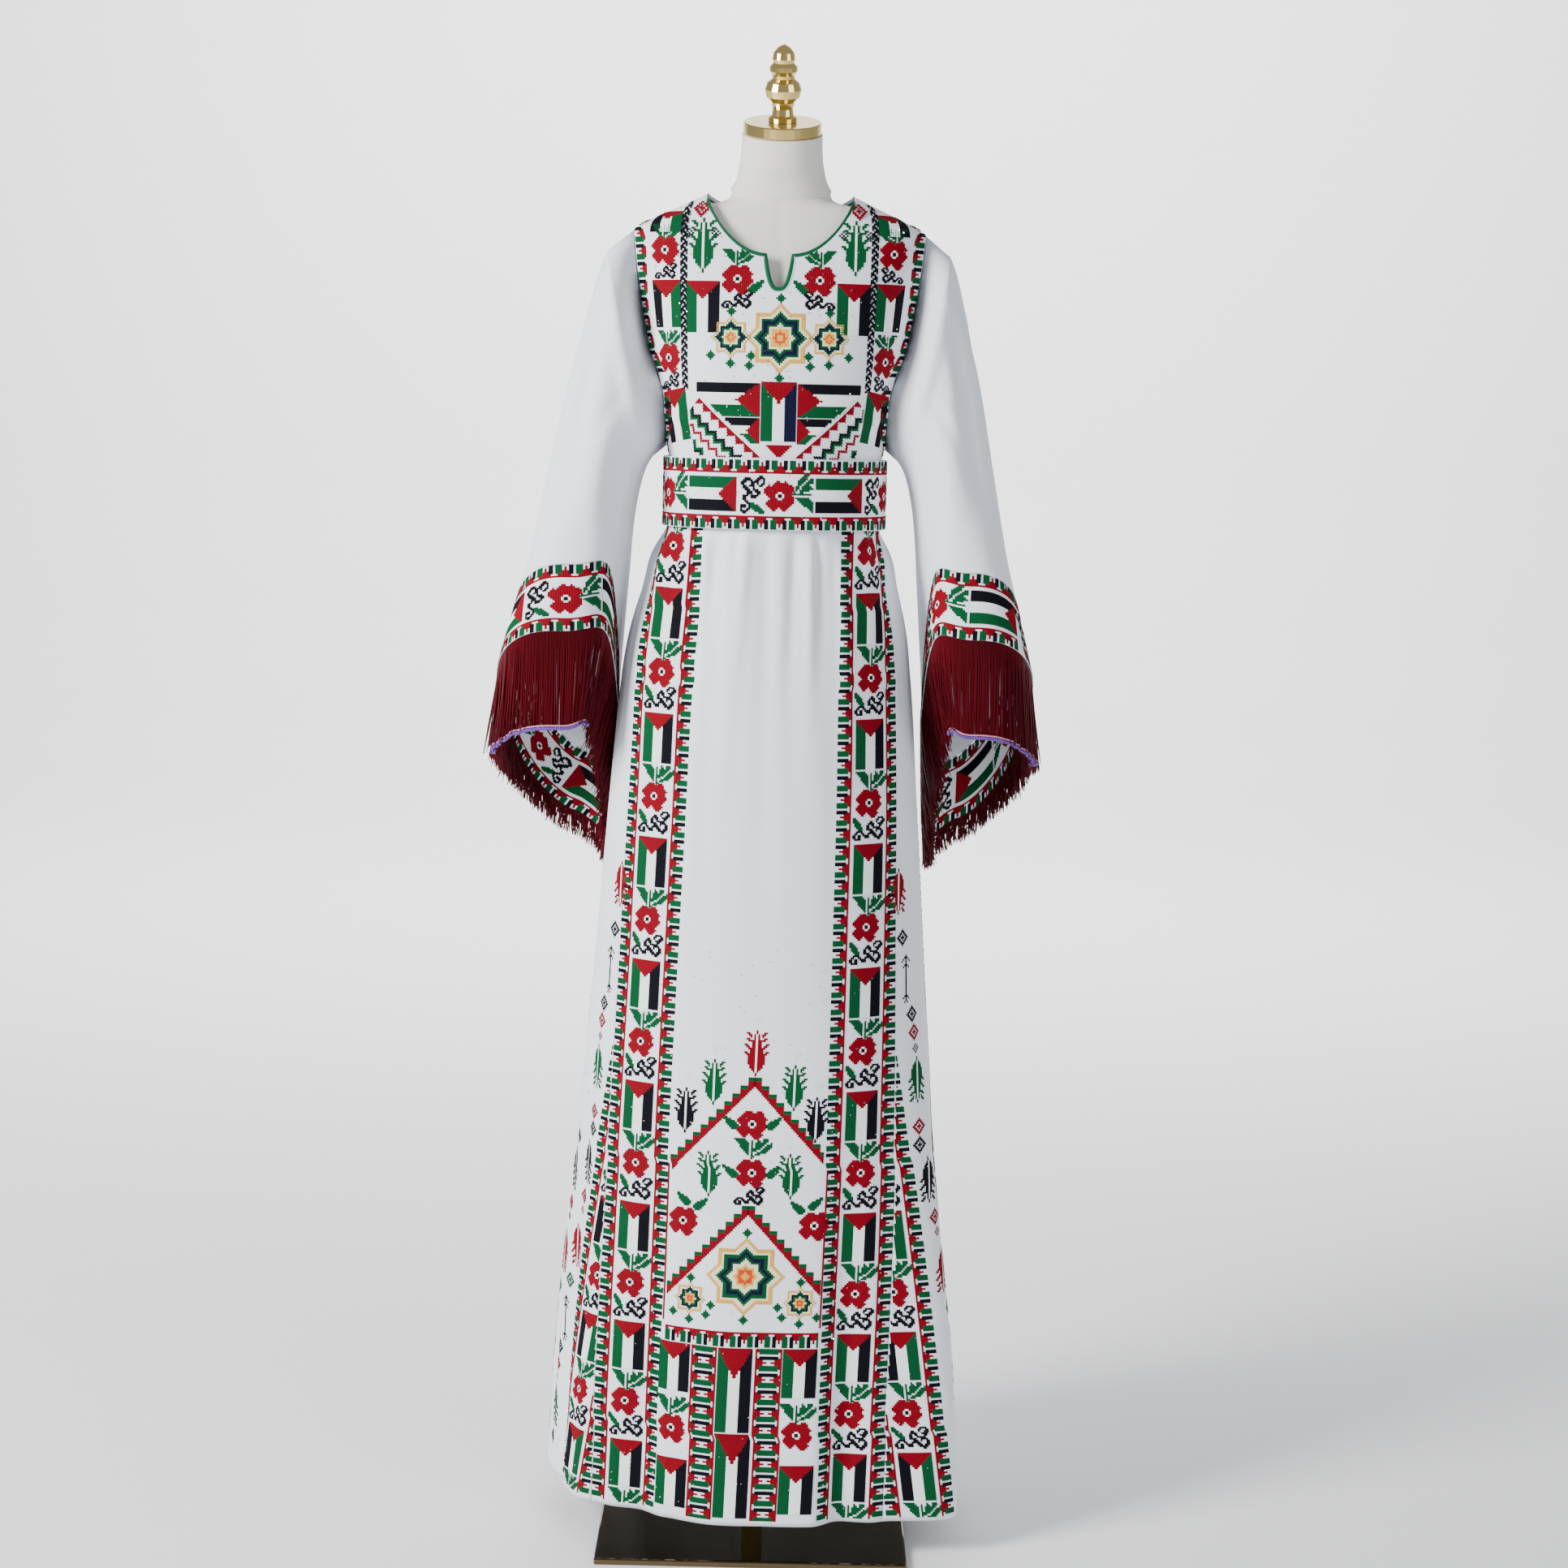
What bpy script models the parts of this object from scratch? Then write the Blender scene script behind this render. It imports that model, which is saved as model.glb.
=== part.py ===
"""An embroidered thobe dress with its belt, worn by a limbless dress form on a brass stand.

Metres, +Z up, the front faces -Y. The origin is the middle of the base plate's underside.
"""
import functools
import math

import bmesh
import bpy
import numpy as np
from mathutils import Matrix, Vector

# Driving sizes of the stand and the form
PLATE_SIDE = 0.360
PLATE_THICK = 0.008
POLE_RADIUS = 0.0125
POLE_FLANGE_RADIUS = 0.045
POLE_FLANGE_THICK = 0.006
FORM_BOTTOM = 0.900
NECK_TOP = 1.628
NECK_TILT = math.radians(16)
CAP_RADIUS = 0.0446
CAP_THICK = 0.013

# Driving sizes of the dress
HEM_HEIGHT = 0.045
WAIST_HEIGHT = 1.224
SEAM_GAP = 0.0003
CLOTH = 0.0016
CUFF_CLOTH = 0.0020
BELT_CLOTH = 0.0030
BELT_BOTTOM = 1.184
BELT_TOP = 1.263
BELT_HALF_WIDTH = 0.1285
BELT_FRONT = 0.1035
BELT_BACK = 0.0985
GUARD = 0.0016
CENTRE_STRIP_TOP = 0.081
CENTRE_STRIP_HEM = 0.098
BAND_WIDTH = 0.084
UNDERARM_HEIGHT = 1.274
NECK_SIDE = 0.083
NECK_SIDE_HEIGHT = 1.560
SHOULDER_TIP = 0.1665
SHOULDER_TIP_HEIGHT = 1.519
NOTCH_HALF = 0.0145
NOTCH_BOTTOM = 1.452
NECK_FRONT_HEIGHT = 1.490
NECK_BACK_HEIGHT = 1.544
BINDING_RADIUS = 0.0017
FRINGE_STRIP = 0.006
FRINGE_STRANDS = 56
FRINGE_THICK = 0.0022
CENTRE_DRIFT = -0.024
SKIRT_SHIFT = -0.005
SLEEVE_COLUMNS = 28
SKIRT_POWER = 2.15
BODICE_POWER = 2.3
GATHER_START = 0.095

# Sections of the form: height, half width, reach to the front, reach to the back, shift of the middle
FORM_SECTIONS = [
    (0.900, 0.1380, 0.0920, 0.0980, 0.000),
    (0.925, 0.1500, 0.1020, 0.1100, 0.000),
    (1.000, 0.1540, 0.1060, 0.1180, 0.000),
    (1.060, 0.1420, 0.0990, 0.1100, 0.000),
    (1.142, 0.1210, 0.0880, 0.0920, 0.000),
    (1.212, 0.1080, 0.0810, 0.0800, 0.000),
    (1.272, 0.1130, 0.0850, 0.0830, 0.000),
    (1.332, 0.1250, 0.1000, 0.0870, 0.000),
    (1.372, 0.1320, 0.1070, 0.0890, 0.000),
    (1.412, 0.1390, 0.1010, 0.0890, 0.000),
    (1.452, 0.1470, 0.0870, 0.0850, 0.000),
    (1.487, 0.1520, 0.0720, 0.0770, 0.000),
    (1.510, 0.1470, 0.0610, 0.0670, 0.000),
    (1.527, 0.1310, 0.0540, 0.0590, 0.000),
    (1.5458, 0.1060, 0.0444, 0.0535, 0.000),
    (1.5500, 0.0740, 0.0440, 0.0500, -0.001),
    (1.5680, 0.0560, 0.0450, 0.0495, -0.003),
    (1.592, 0.0480, 0.0475, 0.0475, -0.008),
    (1.628, 0.0455, 0.0455, 0.0455, -0.014),
]

# Sections of the bodice: height, half width, reach to the front, reach to the back
BODICE_SECTIONS = [
    (1.224, 0.1200, 0.0950, 0.0910),
    (1.262, 0.1225, 0.0975, 0.0925),
    (1.312, 0.1330, 0.1080, 0.0960),
    (1.357, 0.1430, 0.1170, 0.0990),
    (1.402, 0.1520, 0.1140, 0.0990),
    (1.442, 0.1600, 0.1020, 0.0960),
    (1.482, 0.1680, 0.0870, 0.0900),
    (1.512, 0.1700, 0.0720, 0.0780),
    (1.524, 0.1600, 0.0660, 0.0710),
    (1.537, 0.1330, 0.0610, 0.0650),
    (1.550, 0.1050, 0.0570, 0.0600),
    (1.562, 0.0800, 0.0540, 0.0570),
]

# The armhole seam: height, distance from the middle
ARMHOLE = [
    (1.274, 0.1250),
    (1.312, 0.1265),
    (1.338, 0.1295),
    (1.361, 0.1370),
    (1.387, 0.1455),
    (1.414, 0.1515),
    (1.467, 0.1600),
    (1.519, 0.1665),
]

# Sections of the skirt: height, half width, reach to the front, reach to the back, turn in degrees
SKIRT_SECTIONS = [
    (1.2237, 0.1200, 0.0950, 0.0910, 0.0),
    (1.1820, 0.1228, 0.0975, 0.0930, 0.0),
    (1.1460, 0.1380, 0.1060, 0.1030, 0.0),
    (1.1190, 0.1440, 0.1120, 0.1110, 0.0),
    (1.0620, 0.1585, 0.1210, 0.1250, -0.5),
    (1.0060, 0.1665, 0.1260, 0.1340, -1.0),
    (0.8820, 0.1775, 0.1320, 0.1430, -1.5),
    (0.7700, 0.1860, 0.1370, 0.1500, -2.5),
    (0.6580, 0.1940, 0.1410, 0.1560, -3.5),
    (0.5460, 0.2035, 0.1450, 0.1620, -4.5),
    (0.4340, 0.2120, 0.1490, 0.1680, -5.5),
    (0.3220, 0.2215, 0.1530, 0.1730, -6.5),
    (0.2100, 0.2305, 0.1570, 0.1780, -7.5),
    (0.0980, 0.2365, 0.1610, 0.1820, -8.5),
    (0.0450, 0.2395, 0.1630, 0.1840, -9.0),
]

# Folds of the skirt: bearing in degrees from the front towards +X, half breadth in degrees,
# depth at its fullest (a ridge is positive), height where it is fullest, height where it has faded
SKIRT_FOLDS = [
    (-3, 13, 0.006, 0.045, 0.700),
    (33, 11, -0.016, 0.045, 0.620),
    (65, 20, 0.040, 0.045, 0.800),
    (92, 10, -0.006, 0.045, 0.700),
    (-26, 10, -0.010, 0.045, 0.640),
    (-47, 11, 0.007, 0.045, 0.600),
    (-68, 10, -0.009, 0.045, 0.800),
    (-92, 12, 0.010, 0.045, 0.950),
    (112, 13, 0.014, 0.045, 0.950),
    (133, 12, -0.012, 0.045, 0.900),
    (154, 13, 0.013, 0.045, 1.000),
    (178, 12, -0.012, 0.045, 0.950),
    (-157, 13, 0.013, 0.045, 1.000),
    (-136, 11, -0.011, 0.045, 0.900),
    (-114, 12, 0.012, 0.045, 0.900),
    (-27, 7, -0.0045, 1.150, 0.860),
    (-13, 6, 0.0035, 1.140, 0.800),
    (10, 7, -0.0030, 1.150, 0.780),
    (22, 6, -0.0045, 1.155, 0.880),
    (33, 6, 0.0030, 1.130, 0.860),
    (-62, 8, 0.0030, 1.120, 0.900),
    (70, 8, -0.0030, 1.120, 0.900),
    (105, 7, -0.0040, 1.140, 0.900),
    (125, 7, -0.0045, 1.140, 0.860),
    (146, 7, -0.0050, 1.140, 0.820),
    (168, 7, -0.0050, 1.140, 0.800),
    (-168, 7, -0.0050, 1.140, 0.800),
    (-146, 7, -0.0050, 1.140, 0.820),
    (-125, 7, -0.0045, 1.140, 0.860),
    (-105, 7, -0.0040, 1.140, 0.900),
]

# Rings of the hanging sleeve: outer point (x, z), inner point (x, z), half depth,
# shift of the middle to the back, share of the mouth's slant
SLEEVE_RINGS = [
    (0.194, 1.496, 0.1410, 1.262, 0.080, 0.004, 0.00),
    (0.211, 1.445, 0.1500, 1.246, 0.086, 0.008, 0.00),
    (0.224, 1.384, 0.1560, 1.226, 0.090, 0.010, 0.03),
    (0.239, 1.314, 0.1600, 1.202, 0.095, 0.013, 0.10),
    (0.256, 1.239, 0.1600, 1.178, 0.100, 0.016, 0.32),
    (0.270, 1.186, 0.1590, 1.158, 0.106, 0.019, 0.65),
    (0.285, 1.141, 0.1585, 1.139, 0.112, 0.022, 1.00),
]
MOUTH_RING = (0.304, 1.066, 0.1570, 1.064, 0.120, 0.026, 1.00)

# How much further out the outer side of each sleeve's mouth swings
SLEEVE_SWING = {"right": 0.002, "left": 0.015}

# How much lower than its front the mouth is: bearing in degrees (0 outer side, 90 back, 180 body side), drop
MOUTH_DROP = [
    (-180, 0.105),
    (-135, 0.004),
    (-90, 0.000),
    (-45, 0.020),
    (0, 0.076),
    (45, 0.172),
    (90, 0.236),
    (135, 0.262),
    (180, 0.105),
]

# The length of the fringe: bearing in degrees, length
FRINGE_LENGTHS = [
    (-180, 0.085),
    (-135, 0.112),
    (-90, 0.112),
    (-45, 0.112),
    (0, 0.092),
    (45, 0.045),
    (90, 0.032),
    (135, 0.034),
    (180, 0.085),
]

# Folds of a sleeve: bearing, half breadth in degrees, depth, share of the length where it is fullest
SLEEVE_FOLDS = [
    (-32, 20, 0.006, 0.45),
    (-62, 18, -0.008, 0.40),
    (-92, 18, 0.006, 0.55),
    (-122, 16, -0.005, 0.60),
    (28, 20, 0.006, 0.50),
    (58, 18, -0.008, 0.45),
    (92, 20, 0.007, 0.55),
    (126, 16, -0.006, 0.60),
]

# The finial: height above the cap, radius
FINIAL_PROFILE = [
    (0.0000, 0.0162),
    (0.0048, 0.0164),
    (0.0072, 0.0127),
    (0.0144, 0.0117),
    (0.0216, 0.0134),
    (0.0276, 0.0192),
    (0.0360, 0.0212),
    (0.0438, 0.0186),
    (0.0480, 0.0127),
    (0.0516, 0.0130),
    (0.0564, 0.0162),
    (0.0612, 0.0160),
    (0.0654, 0.0119),
    (0.0696, 0.0132),
    (0.0768, 0.0119),
    (0.0828, 0.0065),
    (0.0858, 0.0000),
]

# Colours (red, green, blue), roughness, metallic
FINISHES = {
    "brass": ((0.83, 0.66, 0.22), 0.15, 1.0),
    "linen": ((0.80, 0.79, 0.74), 0.85, 0.0),
    "white_crepe": ((0.86, 0.88, 0.91), 0.70, 0.0),
    "green_tape": ((0.02, 0.26, 0.13), 0.60, 0.0),
    "burgundy_thread": ((0.24, 0.00, 0.02), 0.55, 0.0),
}


def material(name):
    found = bpy.data.materials.get(name)
    if found:
        return found
    colour, roughness, metallic = FINISHES[name]
    made = bpy.data.materials.new(name)
    made.use_nodes = True
    shader = made.node_tree.nodes["Principled BSDF"]
    shader.inputs["Base Color"].default_value = (*colour, 1.0)
    shader.inputs["Roughness"].default_value = roughness
    shader.inputs["Metallic"].default_value = metallic
    return made


def eased(table, at, column=1):
    """A smooth value read from a table sorted by its first column."""
    keys = np.array([row[0] for row in table], float)
    values = np.array([row[column] for row in table], float)
    if keys[0] > keys[-1]:
        keys, values = keys[::-1], values[::-1]
    steps = np.diff(values) / np.diff(keys)
    slopes = np.concatenate([[steps[0]], (steps[:-1] + steps[1:]) / 2, [steps[-1]]])
    flat = np.concatenate([[False], steps[:-1] * steps[1:] <= 0, [False]])
    slopes[flat] = 0.0
    at = np.clip(at, keys[0], keys[-1])
    i = np.clip(np.searchsorted(keys, at) - 1, 0, len(keys) - 2)
    width = keys[i + 1] - keys[i]
    t = (at - keys[i]) / width
    rise = values[i + 1] - values[i]
    start, end = slopes[i] * width, slopes[i + 1] * width
    return values[i] + t * (start + t * (3 * rise - 2 * start - end + t * (start + end - 2 * rise)))


def bump(distance, half):
    """1 at its middle, falling smoothly to 0 at half on either side."""
    near = np.clip(1 - np.abs(distance) / half, 0, 1)
    return near * near * (3 - 2 * near)


def turned_apart(a, b):
    """The difference of two bearings in degrees, from -180 to 180."""
    return (a - b + 180) % 360 - 180


def finish_object(obj, finish, smooth=True):
    obj.data.materials.append(material(finish))
    if smooth:
        obj.data.shade_smooth()
        obj.data.set_sharp_from_angle(angle=math.radians(40))
    return obj


def new_object(name, points, faces, finish):
    mesh = bpy.data.meshes.new(name)
    mesh.from_pydata([tuple(p) for p in points], [], faces)
    mesh.update()
    obj = bpy.data.objects.new(name, mesh)
    parts.objects.link(obj)
    return finish_object(obj, finish)


def grid_faces(rows, columns, closed):
    faces = []
    for i in range(rows - 1):
        for j in range(columns if closed else columns - 1):
            right = (j + 1) % columns
            a, b = i * columns + j, i * columns + right
            faces.append((a, a + columns, b + columns, b))
    return faces


def cloth_wall(name, grid, closed, finish, thick=CLOTH):
    """A cloth panel from rows of outer points, top row first, thickened towards its inside."""
    rows, columns = len(grid), len(grid[0])
    points = [p for row in grid for p in row]
    obj = new_object(name, points, grid_faces(rows, columns, closed), finish)
    wall = obj.modifiers.new("wall", "SOLIDIFY")
    wall.thickness = thick
    wall.offset = -1.0
    wall.use_even_offset = True
    return obj


def solid_loft(name, rings, finish):
    """A closed solid through rings, bottom ring first, with flat ends."""
    columns = len(rings[0])
    points = [p for ring in rings for p in ring]
    top = (len(rings) - 1) * columns
    faces = [tuple(reversed(range(columns))), tuple(range(top, top + columns))]
    for i in range(len(rings) - 1):
        for j in range(columns):
            right = (j + 1) % columns
            a, b = i * columns + j, i * columns + right
            faces.append((a, b, b + columns, a + columns))
    return new_object(name, points, faces, finish)


def oval(bearings, half_width, front, back, power):
    """Points of an oval section; bearing 0 is the front, 90 degrees is +X."""
    s, c = np.sin(bearings), np.cos(bearings)
    x = half_width * np.copysign(np.abs(s) ** (2 / power), s)
    y = -np.where(c > 0, front, back) * np.copysign(np.abs(c) ** (2 / power), c)
    return np.stack([x, y], axis=-1)


def even_bearings(count):
    """Bearings round a ring, ordered so that the walls face outwards on the +X side."""
    return [2 * math.pi * k / count - math.pi for k in range(count)]


# The skirt

@functools.lru_cache(maxsize=None)
def skirt_outline(height, samples=720):
    """Points round the skirt at a height, counter-clockwise from the front's middle line, with their arc length."""
    half, front, back, turn = (eased(SKIRT_SECTIONS, height, k) for k in (1, 2, 3, 4))
    bearings = 2 * math.pi * np.arange(samples) / samples - math.pi
    degrees = np.degrees(bearings)
    push = np.zeros(samples)
    for middle, breadth, depth, fullest, faded in SKIRT_FOLDS:
        rise = bump(height - fullest, abs(faded - fullest))
        push += depth * rise * bump(turned_apart(degrees, middle), breadth)
    push *= 1 - bump(min(height, WAIST_HEIGHT) - WAIST_HEIGHT, GATHER_START)
    points = oval(bearings, half, front, back, SKIRT_POWER)
    points *= 1 + (push / np.linalg.norm(points, axis=1))[:, None]
    angle = math.radians(turn)
    points = points @ np.array([[math.cos(angle), math.sin(angle)], [-math.sin(angle), math.cos(angle)]])
    points[:, 0] += SKIRT_SHIFT * min(1.0, (WAIST_HEIGHT - height) / 0.200)
    drift = CENTRE_DRIFT * (WAIST_HEIGHT - height) / WAIST_HEIGHT
    front_side = np.where(points[:, 1] < 0, np.abs(points[:, 0] - drift), 1.0)
    points = np.roll(points, -int(np.argmin(front_side)), axis=0)
    loop = np.vstack([points, points[:1]])
    along = np.concatenate([[0], np.cumsum(np.linalg.norm(np.diff(loop, axis=0), axis=1))])
    return loop, along


def skirt_row(height, stations):
    """Points on the skirt at signed distances along the cloth from the front's middle line."""
    loop, along = skirt_outline(height)
    at = np.mod(np.array(stations), along[-1])
    return [
        (float(np.interp(s, along, loop[:, 0])), float(np.interp(s, along, loop[:, 1])), height)
        for s in at
    ]


def gore_width(height):
    """The breadth of the side band that comes out from under the front band towards the hem."""
    return 0.090 * max(0.0, (0.610 - height) / (0.610 - HEM_HEIGHT))


def side_white_width(height):
    """The breadth of the plain cloth of a side panel."""
    return 0.060 + 0.075 * (WAIST_HEIGHT - height) / (WAIST_HEIGHT - HEM_HEIGHT)


def skirt_seams(height):
    """Where the front panel ends and where the side panel ends, along the cloth."""
    down = (WAIST_HEIGHT - height) / (WAIST_HEIGHT - HEM_HEIGHT)
    front_seam = CENTRE_STRIP_TOP + (CENTRE_STRIP_HEM - CENTRE_STRIP_TOP) * down + BAND_WIDTH
    side_seam = front_seam + gore_width(height) + side_white_width(height)
    return front_seam, side_seam


SKIRT_ROWS = 16


def skirt_heights():
    """Row heights, closer together under the belt."""
    shares = [(k / (SKIRT_ROWS - 1)) ** 1.35 for k in range(SKIRT_ROWS)]
    top = WAIST_HEIGHT - SEAM_GAP
    return [top - s * (top - HEM_HEIGHT) for s in shares]


def skirt_panel(name, edges, columns):
    """A panel of the skirt between two seams; edges gives their stations at a height."""
    grid = []
    for height in skirt_heights():
        left, right = edges(height)
        inner = np.linspace(left, right, columns)[1:-1]
        grid.append(skirt_row(height, [left, left + GUARD, *inner, right - GUARD, right]))
    return cloth_wall(name, grid, False, "white_crepe")


def make_skirt():
    half_gap = 0.8 * SEAM_GAP

    def front(height):
        seam = skirt_seams(height)[0] - half_gap
        return -seam, seam

    def right_side(height):
        seam, far = skirt_seams(height)
        return seam + half_gap, far - half_gap

    def left_side(height):
        seam, far = skirt_seams(height)
        return -far + half_gap, -seam - half_gap

    def back(height):
        far = skirt_seams(height)[1] + half_gap
        whole = skirt_outline(height)[1][-1]
        return far, whole - far

    skirt_panel("skirt_front", front, 25)
    skirt_panel("skirt_side_right", right_side, 11)
    skirt_panel("skirt_side_left", left_side, 11)
    skirt_panel("skirt_back", back, 23)


# The bodice

def bodice_depth(x, height, front):
    """How far the bodice reaches from its middle plane at a place."""
    half = eased(BODICE_SECTIONS, height, 1)
    reach = eased(BODICE_SECTIONS, height, 2 if front else 3)
    inside = max(0.0, 1 - min(1.0, abs(x) / half) ** BODICE_POWER)
    return reach * inside ** (1 / BODICE_POWER)


def panel_half_width(height):
    """The half width of a bodice panel: the armhole seam above the underarm, the side seam below it."""
    half = eased(BODICE_SECTIONS, height, 1)
    if height <= UNDERARM_HEIGHT:
        return half
    return min(half, eased(ARMHOLE, height))


@functools.lru_cache(maxsize=None)
def bodice_arc(height, front):
    """Half widths along a panel's section, with the share of its length from the middle to its edge."""
    half = eased(BODICE_SECTIONS, height, 1)
    reach = eased(BODICE_SECTIONS, height, 2 if front else 3)
    points = oval(np.linspace(0, math.pi / 2, 240), half, reach, reach, BODICE_POWER)
    along = np.concatenate([[0], np.cumsum(np.linalg.norm(np.diff(points, axis=0), axis=1))])
    edge = np.interp(panel_half_width(height), points[:, 0], along)
    return points[:, 0], along / edge


def shoulder_height(x):
    """The height of the shoulder seam at a distance from the middle."""
    line = [(NECK_SIDE, NECK_SIDE_HEIGHT), (0.105, 1.5495), (0.133, 1.5365), (SHOULDER_TIP, SHOULDER_TIP_HEIGHT)]
    return eased(line, abs(x))


def front_neck_height(x):
    """The round neckline with its narrow notch in the middle."""
    x = abs(x)
    if x <= NOTCH_HALF:
        return NOTCH_BOTTOM + (NECK_FRONT_HEIGHT - NOTCH_BOTTOM) * (x / NOTCH_HALF) ** 3
    share = min(1.0, (x - NOTCH_HALF) / (NECK_SIDE - NOTCH_HALF))
    rise = 0.5 * share ** 2 + 0.5 * (1 - math.sqrt(1 - share ** 2))
    return NECK_FRONT_HEIGHT + (NECK_SIDE_HEIGHT - NECK_FRONT_HEIGHT) * rise


def back_neck_height(x):
    share = min(1.0, abs(x) / NECK_SIDE)
    return NECK_BACK_HEIGHT + (NECK_SIDE_HEIGHT - NECK_BACK_HEIGHT) * share ** 3


def bodice_place(x_top, share_down, front):
    """A point of a bodice panel, by where its column starts at the top and how far down it is."""
    on_shoulder = abs(x_top) >= NECK_SIDE
    top = front_neck_height(x_top) if front else back_neck_height(x_top)
    top = shoulder_height(x_top) if on_shoulder else top
    height = top + (WAIST_HEIGHT - top) * share_down
    share = abs(x_top) / SHOULDER_TIP
    straight = abs(x_top) + share * (panel_half_width(height) - panel_half_width(top))
    widths, shares = bodice_arc(height, front)
    round_side = float(np.interp(share, shares, widths))
    blend = 1 - bump(min(0.0, height - 1.462), 0.110)
    x = min(straight + (round_side - straight) * blend, panel_half_width(height))
    depth = bodice_depth(x, height, front)
    if on_shoulder and share_down == 0:
        depth = 0.0
    depth = max(depth, 0.75 * SEAM_GAP)
    return math.copysign(x, x_top), -depth if front else depth, height


FRONT_STATIONS = [0, 0.0075, 0.0120, 0.0145, 0.020, 0.030, 0.045, 0.060, 0.070, 0.078, 0.083, 0.101, 0.121,
                  0.145, 0.163, 0.1665]
BACK_STATIONS = [0, 0.025, 0.050, 0.068, 0.083, 0.101, 0.121, 0.145, 0.163, 0.1665]
BODICE_ROWS = [0.0, 0.003, 0.020, 0.065, 0.140, 0.240, 0.370, 0.520, 0.690, 0.850, 1.0]


def mirrored(stations):
    return sorted({-x for x in stations} | set(stations))


def bodice_panel(name, front, stations):
    """A bodice panel whose columns run from its top edge down to the waist."""
    across = mirrored(stations) if front else mirrored(stations)[::-1]
    grid = [[bodice_place(x, share, front) for x in across] for share in BODICE_ROWS]
    return cloth_wall(name, grid, False, "white_crepe")


def make_bodice():
    bodice_panel("bodice_front", True, FRONT_STATIONS)
    bodice_panel("bodice_back", False, BACK_STATIONS)


def neck_edge(stations, front):
    """Places just above a panel's neck edge, from -X to +X."""
    across = [x for x in mirrored(stations) if abs(x) <= NECK_SIDE]
    tops = [Vector(bodice_place(x, 0.0, front)) for x in across]
    under = [Vector(bodice_place(x, 0.02, front)) for x in across]
    places = []
    for k, place in enumerate(tops):
        before = (place - tops[max(k - 1, 0)]).normalized()
        after = (tops[min(k + 1, len(tops) - 1)] - place).normalized()
        along = (before + after).normalized()
        up = place - under[k]
        up = (up - along * up.dot(along)).normalized()
        inward = along.cross(up) if front else up.cross(along)
        corner = max(0.55, along.dot(after)) if 0 < k < len(tops) - 1 else 1.0
        places.append(place + up * (BINDING_RADIUS + 2 * SEAM_GAP) / corner - inward * CLOTH * 0.5)
    return places


def make_neck_binding():
    """The tape round the neckline, just above the edge of both panels."""
    front = neck_edge(FRONT_STATIONS, True)
    back = neck_edge(BACK_STATIONS, False)
    for ends in (front, back):
        for k in (0, -1):
            ends[k] = Vector((ends[k].x, 0.0, NECK_SIDE_HEIGHT + BINDING_RADIUS + 2 * SEAM_GAP))
    loop = front + back[1:-1][::-1]
    curve = bpy.data.curves.new("neck_binding", "CURVE")
    curve.dimensions = "3D"
    spline = curve.splines.new("POLY")
    spline.points.add(len(loop) - 1)
    for point, place in zip(spline.points, loop):
        point.co = (*place, 1.0)
    spline.use_cyclic_u = True
    curve.bevel_depth = BINDING_RADIUS
    curve.bevel_resolution = 1
    obj = bpy.data.objects.new("neck_binding", curve)
    obj.data.materials.append(material("green_tape"))
    parts.objects.link(obj)
    return obj


# The sleeves

def armhole_ring(bearings):
    """The sleeve's first ring, on the armhole seam of both panels."""
    middle = (SHOULDER_TIP_HEIGHT + UNDERARM_HEIGHT) / 2
    half = (SHOULDER_TIP_HEIGHT - UNDERARM_HEIGHT) / 2 - 0.001
    ring = []
    for bearing in bearings:
        height = middle + half * math.cos(bearing)
        x = panel_half_width(height)
        depth = max(bodice_depth(x, height, bearing < 0), 0.004)
        y = depth * (1 if bearing > 0 else -1) * min(1.0, abs(math.sin(bearing)) * 2.5)
        ring.append((x + 3 * SEAM_GAP, y, height))
    return np.array(ring)


def sleeve_ring(row, bearings, label):
    """A ring of the hanging sleeve; bearing 0 is its outer side, 90 degrees its back."""
    outer_x, outer_z, inner_x, inner_z, depth, shift, slant = row
    fallen = (SHOULDER_TIP_HEIGHT - outer_z) / (SHOULDER_TIP_HEIGHT - MOUTH_RING[1])
    outer_x += SLEEVE_SWING[label] * fallen
    ring = []
    for bearing in bearings:
        c, s = math.cos(bearing), math.sin(bearing)
        along = math.copysign(abs(c) ** (2 / 2.5), c)
        deep = math.copysign(abs(s) ** (2 / 2.5), s)
        x = (outer_x + inner_x) / 2 + along * (outer_x - inner_x) / 2
        z = (outer_z + inner_z) / 2 + along * (outer_z - inner_z) / 2
        drop = slant * eased(MOUTH_DROP, math.degrees(bearing))
        clear = 0.020 * slant * max(0.0, -c) ** 2 * (1 + 0.6 * max(0.0, s))
        ring.append((x + clear, shift + deep * depth, z - drop))
    return np.array(ring)


def sleeve_rings(bearings, label, per_step=2):
    """All the rings from the armhole to the top of the cuff, with the folds pressed in."""
    keys = [armhole_ring(bearings)] + [sleeve_ring(row, bearings, label) for row in SLEEVE_RINGS]
    rings = []
    steps = len(keys) - 1
    for k in range(steps):
        before, after = keys[max(k - 1, 0)], keys[min(k + 2, steps)]
        for part in range(per_step if k > 0 else 1):
            t = part / (per_step if k > 0 else 1)
            a, b = keys[k], keys[k + 1]
            rings.append(0.5 * (2 * a + (b - before) * t + (2 * before - 5 * a + 4 * b - after) * t ** 2
                                + (3 * a - before - 3 * b + after) * t ** 3))
    rings.append(keys[-1])
    for number, ring in enumerate(rings):
        share = number / (len(rings) - 1)
        middle = ring.mean(axis=0)
        for place, bearing in zip(ring, bearings):
            push = 0.0
            for fold, breadth, depth, fullest in SLEEVE_FOLDS:
                push += depth * bump(turned_apart(math.degrees(bearing), fold), breadth) * bump(share - fullest, 0.45)
            out = (place - middle) / max(np.linalg.norm(place - middle), 1e-6)
            place += out * push * math.sin(math.pi * share)
    return rings


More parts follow.
